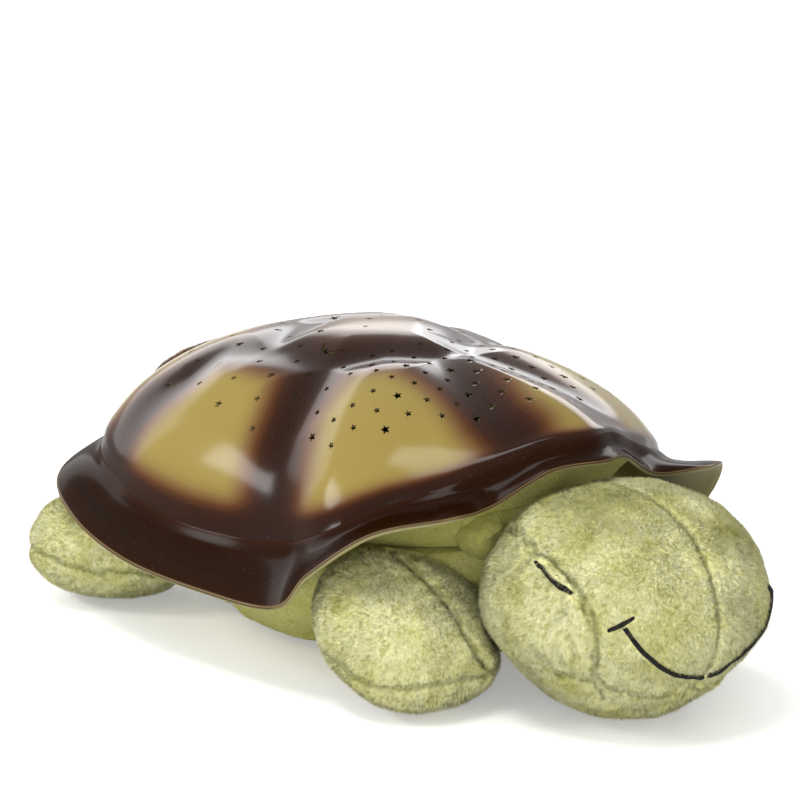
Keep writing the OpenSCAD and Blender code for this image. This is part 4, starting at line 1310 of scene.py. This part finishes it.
def grow_pile(piece, tree, finish, seed, density, comb=(0, 0.5, -0.6), length=PILE_LENGTH, bare=()):
    """The piece's own short pile, as a mesh of fine fibres that rides with it, thinned along bare paths."""
    pile = bpy.data.objects.new(piece.name + "_pile", piece.data.copy())
    bpy.context.scene.collection.objects.link(pile)
    points = points_of(pile)
    cover = ease(points[:, 2], 0.0018, 0.0050) * (1 - hidden_by_shell(points))
    for path, reach in bare:
        cover = cover * ease(path_distance(points, laid_on(piece, path))[0], 0.5 * reach, reach)
    store(pile, "cover", cover)
    run_tree(pile, tree, {
        "Fibres per area": density, "Fibre length": length, "Fibre width": FIBRE_WIDTH,
        "Comb": Vector(comb), "Seed": seed, "Finish": finish,
    })
    return pile


# ---------- Skirt under the shell ----------

SKIRT_SIDES = 240
SKIRT_ROWS = 16
SKIRT_TOP = 0.985
SKIRT_CLOTH = 0.0016
SKIRT_HANG = 0.0034
SKIRT_HANG_REAR = 0.010
SKIRT_SWELL = 0.004
SKIRT_GAP = 0.003


def make_skirt():
    """The plush that closes the light chamber, from the base plate out to the shell's bead."""
    u = np.arange(SKIRT_SIDES) * FULL_TURN / SKIRT_SIDES
    v = np.full(SKIRT_SIDES, SKIRT_TOP)
    edge = shell_point(u, v)
    under = SKIRT_HANG + SKIRT_HANG_REAR * ease(edge[:, 1], 0.130, 0.150)
    edge = edge - under[:, None] * shell_normal(u, v)
    y = edge[:, 1] - SHELL_MIDDLE
    near_y = np.clip(y, -PLATE_SPREAD, PLATE_SPREAD)
    way = unit(np.stack([edge[:, 0], y - near_y], axis=-1))
    inner = PLATE_RADIUS + SKIRT_CLOTH
    foot_y = near_y + way[:, 1] * inner + SHELL_MIDDLE
    foot = np.stack([way[:, 0] * inner, foot_y, np.full(SKIRT_SIDES, PLATE_BOTTOM)], axis=-1)
    share = np.linspace(0, 1, SKIRT_ROWS)[:, None, None]
    top = foot + share * (edge - foot)
    top[..., 2] += SKIRT_SWELL * np.sin(np.pi * share[..., 0])
    limbs = [HEAD, flipper_form(1), flipper_form(-1), leg_form(1), leg_form(-1)]
    hung = np.repeat(ease(share, 0.06, 0.3).ravel(), SKIRT_SIDES)[:, None]
    top = top.reshape(-1, 3)
    top = top + hung * (lift_over(top.copy(), limbs, SKIRT_GAP) - top)
    skirt = new_piece("plush_skirt", top, net_faces(SKIRT_SIDES, SKIRT_ROWS, closed=False))
    wall = skirt.modifiers.new("cloth", "SOLIDIFY")
    wall.thickness = SKIRT_CLOTH
    wall.offset = 0
    divide(skirt, 1)
    fix_outside(skirt)
    smooth_shade(skirt)
    return skirt


# ---------- Embroidery ----------

STRAND_SIDES = 6
STRAND_STEPS = 6
STRAND_RADIUS = 0.00022
STRAND_RISE = 0.00035
STRAND_DIP = 0.0011
STITCH_PITCH = 0.00042
STITCH_SLANT = 0.35


def strand():
    """One stitch of thread, a unit long, that arches up and dips into the cloth at both ends."""
    rings = []
    for k in range(STRAND_STEPS + 1):
        x = k / STRAND_STEPS - 0.5
        z = STRAND_RISE - STRAND_DIP * (2 * x) ** 4
        for i in range(STRAND_SIDES):
            a = 2 * math.pi * i / STRAND_SIDES
            rings.append((x, STRAND_RADIUS * math.cos(a), z + STRAND_RADIUS * math.sin(a)))
    faces = net_faces(STRAND_SIDES, STRAND_STEPS + 1, closed=False)
    end = [STRAND_STEPS * STRAND_SIDES + i for i in range(STRAND_SIDES)]
    faces += [tuple(range(STRAND_SIDES - 1, -1, -1)), tuple(end)]
    piece = new_piece("strand", rings, faces)
    fix_outside(piece)
    return piece


def stitch_tree():
    """Lays a strand across every point of a line, to the width that the point holds."""
    tree = ShapeTree("satin_stitches", {"Strand": "Object", "Finish": "Material"})
    lay = tree.aligned("X", tree.held("across", "FLOAT_VECTOR"))
    turn = tree.aligned("Z", tree.held("out", "FLOAT_VECTOR"), {"Rotation": lay}, pivot_axis="X")
    size = tree.add("ShaderNodeCombineXYZ", {"X": tree.held("width"), "Y": 1, "Z": 1}).outputs[0]
    return tree.stand(tree.points(), tree.shape("Strand"), turn, size)


def embroider(name, skin, lines, tree, finish, lift):
    """Satin stitches over lines, each a path and the widths along it, lifted off the skin."""
    places, across, out, widths = [], [], [], []
    for path, width in lines:
        line = smooth_path(path, STITCH_PITCH)
        spot, normal = on_skin(skin, line)
        ahead = unit(np.gradient(spot, axis=0))
        for _ in range(3):
            normal[1:-1] = unit(normal[:-2] + normal[1:-1] + normal[2:])
        share = np.linspace(0, 1, len(line))
        places.append(spot + normal * lift)
        across.append(unit(np.cross(normal, ahead) + STITCH_SLANT * ahead))
        out.append(normal)
        widths.append(np.interp(share, np.linspace(0, 1, len(width)), width))
    base = new_piece(name, np.concatenate(places), [])
    for label, values in (("across", across), ("out", out), ("width", widths)):
        store(base, label, np.concatenate(values))
    shape = strand()
    run_tree(base, tree, {"Strand": shape, "Finish": finish})
    bpy.data.objects.remove(shape)
    smooth_shade(base)
    return base


# ---------- Control pad ----------

PAD_HALF = np.array([0.046, 0.023, 0.014])
PAD_VOXEL = 0.0009
WELL_RIM = BUTTON_RADIUS + 0.0017
WELL_WALL = BUTTON_RADIUS + 0.0007
WELL_BOTTOM = 0.0085
TRAY_LEVEL = 0.0083


def make_control_pad():
    """The furry pad on the shell's rear, with a well round each button."""
    place, axes = pad_axes()
    form = SoftForm((0, 0, 0), PAD_HALF - 0.0004, 2.8, 2.8)
    pad = new_piece("control_pad_fur", *form.net(200, 110))
    even_out(pad, PAD_VOXEL)
    local = points_of(pad)
    for i in range(4):
        centre = np.array([(i - 1.5) * BUTTON_PITCH, 0])
        gap = length_of(local[:, :2] - centre)
        well = (gap < WELL_RIM) & (local[:, 2] > 0)
        depth = ease(gap, WELL_WALL, WELL_RIM)
        local[well, 2] = WELL_BOTTOM + (local[well, 2] - WELL_BOTTOM) * depth[well]
        local[:, 2] -= 0.0012 * bell(gap - BUTTON_RADIUS - 0.002, 0.0022) * (local[:, 2] > 0.006)
    beside = np.maximum(np.abs(local[:, 0]) - TRAY_REACH, 0)
    tray = (beside**2 + local[:, 1] ** 2) ** 0.5 < TRAY_RADIUS + 0.0003
    local[:, 2] = np.where(tray & (local[:, 2] < TRAY_LEVEL), TRAY_LEVEL, local[:, 2])
    move_points(pad, local @ axes + place)
    smooth_shade(pad)
    return pad


# ---------- Belly panel and flap ----------

HATCH_HALF = (0.02225, 0.03795)
BAY_GAP = 0.0008
BAY_DEPTH = 0.0026
BELOW_FLOOR = -0.01


def rounded_box(name, low, high, corner, seg=10):
    """A block with rounded corners in plan."""
    (x0, y0, z0), (x1, y1, z1) = low, high
    corners = [(x1 - corner, y1 - corner), (x0 + corner, y1 - corner),
               (x0 + corner, y0 + corner), (x1 - corner, y0 + corner)]
    outline = []
    for quarter, (x, y) in enumerate(corners):
        for k in range(seg + 1):
            a = math.radians(90 * quarter + 90 * k / seg)
            outline.append((x + corner * math.cos(a), y + corner * math.sin(a)))
    return new_piece(name, *prism(outline, z0, z1))


def soften(piece, voxel, rounds):
    """Gives a sharp block even faces and rounded fabric edges."""
    even_out(piece, voxel)
    round_off = piece.modifiers.new("round", "SMOOTH")
    round_off.iterations = rounds
    round_off.factor = 0.5
    settle(piece)
    smooth_shade(piece)


def stitch_edge(piece, low, high, inset, depth, width, below):
    """Draws in the cloth along a line of stitches round its edge, on the side below a level."""
    points = points_of(piece)
    edge = np.minimum(points[:, :2] - low[:2], high[:2] - points[:, :2]).min(axis=1)
    points[:, 2] += depth * bell(edge - inset, width) * (points[:, 2] < below)
    move_points(piece, points)


def make_belly_pad():
    """The panel under the turtle, with a shallow bay for the flap and a hole for the battery case."""
    low, high = (np.array(c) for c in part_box("belly_panel"))
    flap_low, flap_high = (np.array(c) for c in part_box("belly_flap"))
    pad = rounded_box("belly_pad", low, high, 0.030)
    bay_low = (*flap_low[:2] - BAY_GAP, BELOW_FLOOR)
    bay_high = (*flap_high[:2] + BAY_GAP, BAY_DEPTH)
    cut_away(pad, rounded_box("bay_cutter", bay_low, bay_high, 0.002, 4))
    x, y = HATCH_HALF
    hatch_low = (-x, SHELL_MIDDLE - y, BELOW_FLOOR)
    hatch_high = (x, SHELL_MIDDLE + y, 0.02)
    cut_away(pad, rounded_box("hatch_cutter", hatch_low, hatch_high, 0.002, 4))
    soften(pad, 0.0009, 4)
    stitch_edge(pad, low, high, 0.004, 0.0005, 0.0012, 0.0015)
    return pad


def make_flap():
    """The cloth that covers the battery door."""
    low, high = (np.array(c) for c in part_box("belly_flap"))
    flap = rounded_box("belly_flap_cloth", low, high, 0.003, 6)
    soften(flap, 0.0006, 3)
    stitch_edge(flap, low, high, 0.0035, 0.0002, 0.0007, 0.5 * (low[2] + high[2]))
    points = points_of(flap)
    points[:, 2] = np.clip(points[:, 2], low[2], high[2])
    move_points(flap, points)
    return flap


# ---------- Build ----------

bpy.context.scene.view_settings.view_transform = "Standard"
set_camera()
light_the_room()
lay_floor()

gloss = shell_gloss()
star_wall = moulded("star_wall", "#2a1c0f", 0.6)
green = plush("green_plush", "#efecb2", "#dfdc95", "#bcb968")
green_pile = plush("green_pile", "#f9f7c0", "#ece9a2", "#cbc876", pile=True)
belly_green = plush("belly_plush", "#c9c684", "#b4b16b", "#949252")
brown = plush("brown_plush", "#7a4a2a", "#653a20", "#4a2917")
brown_pile = plush("brown_pile", "#8a5a35", "#74482a", "#56331d", pile=True)
thread = satin_thread()

shell = make_shell(gloss, star_wall)
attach(shell, "turtle")
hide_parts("shell")

head_seams = [CENTRE_SEAM, CHEEK_SEAM, other_side(CHEEK_SEAM), CHIN_SEAM, other_side(CHIN_SEAM)]
head = make_head(head_seams)
head.data.materials.append(green)

limbs = []
sewn = [(head, head_seams)]
for side, word in SIDES:
    seams = [on_limb(flipper_form(side), side, line) for line in (FLIPPER_TOP_SEAM, FLIPPER_SOLE_SEAM)]
    flipper = stuffed_piece("flipper_" + word, flipper_form(side), seams, [HEAD, TORSO])
    rim = on_limb(leg_form(side), side, LEG_SEAM)
    leg = stuffed_piece("hind_leg_" + word, leg_form(side), [rim], [TORSO], pull=0.0012)
    limbs += [(flipper, "front_flipper_" + word), (leg, "rear_leg_" + word)]
    sewn += [(flipper, seams), (leg, [rim])]

tail = stuffed_piece("stub_tail", TAIL, [], [TORSO], slack=0.0015, voxel=0.0025)
torso = stuffed_piece("torso_pillow", TORSO, [], [], slack=0.002, finer=1)
points = points_of(torso)
points[:, 2] = np.clip(points[:, 2], TORSO_BOTTOM, PLATE_BOTTOM - SOFT_GAP)
move_points(torso, points)
cut_pocket(torso)
collar = stuffed_piece("shoulder_collar", COLLAR, [], [HEAD, flipper_form(1), flipper_form(-1)], slack=0.002)

for piece, node in limbs:
    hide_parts(node)
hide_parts("limb_filling")
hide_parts("head_cover", "head_filling")
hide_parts("tail")
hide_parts("torso_cover", "torso_filling")
skirt = make_skirt()
# Painted shade: the skirt, the collar and the torso are darkened all over, as they lie in shadow under the
# shell
for piece, share in ((skirt, 1.0), (collar, 1.0), (torso, 0.85)):
    store(piece, "rubbed", np.full(len(piece.data.vertices), share))
unfinished = [tail, torso, collar, skirt] + [piece for piece, _ in limbs]
for piece in unfinished:
    piece.data.materials.append(green)
for piece in [head] + unfinished:
    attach(piece, "turtle")

skin = skin_of(head)
eye_path = HEAD.surface(np.array([
    (53.9, -4.5, 27.9), (54.9, -7.8, 26.1), (55.5, -11.7, 24.5), (55.6, -15.6, 22.8), (55.1, -19.8, 21.5),
    (54.5, -23.9, 20.2), (53.5, -27.4, 19.3),
]) * MM)
mouth_half = HEAD.surface(np.array([
    (-41.7, -48.7, 6.7), (-39.5, -51, 2.4), (-36.5, -52.8, -2.2), (-32.5, -54.7, -7.3), (-27.9, -56.1, -12),
    (-22, -57, -16.6), (-16.1, -57, -19.9), (-8, -57.3, -22.5), (0, -57.5, -23.5),
]) * MM)
mouth_path = np.concatenate([mouth_half, other_side(mouth_half)[-2::-1]])
tick = HEAD.surface(np.array([(-46.9, -43.8, 5.5), (-43, -47.1, 7.8), (-38, -50.2, 11.3)]) * MM)
stitches = stitch_tree()
eye_widths = [0.0010, 0.0032, 0.0046, 0.0046, 0.0036, 0.0014]
mouth_widths = [0.0022, 0.0024, 0.0022, 0.0023, 0.0020]
tick_widths = [0.0016, 0.0024, 0.0014]
eyes = []
for side, word in SIDES:
    line = eye_path if side == 1 else other_side(eye_path)
    eye = embroider("eye_stitches_" + word, skin, [(line, eye_widths)], stitches, thread, lift=0.0012)
    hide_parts("eye_" + word)
    eyes.append(eye)
smile_lines = [(mouth_path, mouth_widths), (tick, tick_widths), (other_side(tick), tick_widths)]
smile = embroider("smile_stitches", skin, smile_lines, stitches, thread, lift=0.0013)
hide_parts("smile")
for piece in [smile] + eyes:
    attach(piece, "turtle")

tree = pile_tree()
thin = 1.0
bare_lines = {piece.name: [(line, SEAM_BARE) for line in lines] for piece, lines in sewn}
fine_eye = smooth_path(eye_path)
fine_tick = smooth_path(tick)
face_lines = [
    (smooth_path(mouth_path), MOUTH_BARE), (fine_eye, EYE_BARE), (other_side(fine_eye), EYE_BARE),
    (fine_tick, TICK_BARE), (other_side(fine_tick), TICK_BARE),
]
bare_lines[head.name] = face_lines + bare_lines[head.name]
for k, piece in enumerate([head] + [p for p, _ in limbs] + [tail, collar]):
    bare = bare_lines.get(piece.name, ())
    pile = grow_pile(piece, tree, green_pile, PLUSH_SEED + k, PLUSH_DENSITY * thin, bare=bare)
    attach(pile, "turtle")

pad = make_control_pad()
pad.data.materials.append(brown)
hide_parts("control_pad")
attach(pad, "turtle")
pile = grow_pile(pad, tree, brown_pile, PAD_SEED, PAD_DENSITY * thin, comb=(0, 0.3, -0.1), length=0.003)
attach(pile, "turtle")

belly = make_belly_pad()
belly.data.materials.clear()
belly.data.materials.append(belly_green)
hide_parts("belly_panel")
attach(belly, "turtle")
flap = make_flap()
flap.data.materials.append(belly_green)
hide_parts("belly_flap")
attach(flap, "flap")

finishes = {
    moulded("post_brown", "#4a2c18", 0.3): ["shell_posts"],
    moulded("dark_plastic", "#26241f"): [
        "control_tray", "button_switches", "base_plate", "battery_case", "battery_door", "timer_chip",
    ],
    turned_steel(): [
        "shell_screws", "tray_screws", "case_screws", "board_screws", "door_screw", "battery_springs",
        "battery_plates",
    ],
    circuit_board(): ["button_board", "lamp_board", "main_board"],
    moulded("board_parts", "#3a3a3c", 0.35): ["board_parts"],
    moulded("cream_button", "#e9e4d6", 0.38): ["power_button"],
    moulded("amber_button", "#d9892b", 0.38): ["amber_button"],
    moulded("green_button", "#3f9a4c", 0.38): ["green_button"],
    moulded("blue_button", "#2f66b4", 0.38): ["blue_button"],
    moulded("white_plastic", "#e8e6df", 0.35): ["lamp_column"],
    moulded("amber_lens", "#e0a040", 0.12): ["amber_lamp"],
    moulded("green_lens", "#58b060", 0.12): ["green_lamp"],
    moulded("blue_lens", "#4a78c8", 0.12): ["blue_lamp"],
    clear_plastic(): ["lamp_cover"],
    cell_jacket(): ["battery_1", "battery_2", "battery_3"],
    wire_jacket(): ["battery_leads", "lamp_leads", "button_leads"],
    loop_strip("hook_rows", "#3c3f26", "#26281a"): ["flap_hooks"],
    loop_strip("loop_tufts", "#a9b070", "#8d955a"): ["flap_loops"],
}
for finish, names in finishes.items():
    for name in names:
        slots = nodes[name].data.materials
        if slots:
            slots[0] = finish
        else:
            slots.append(finish)
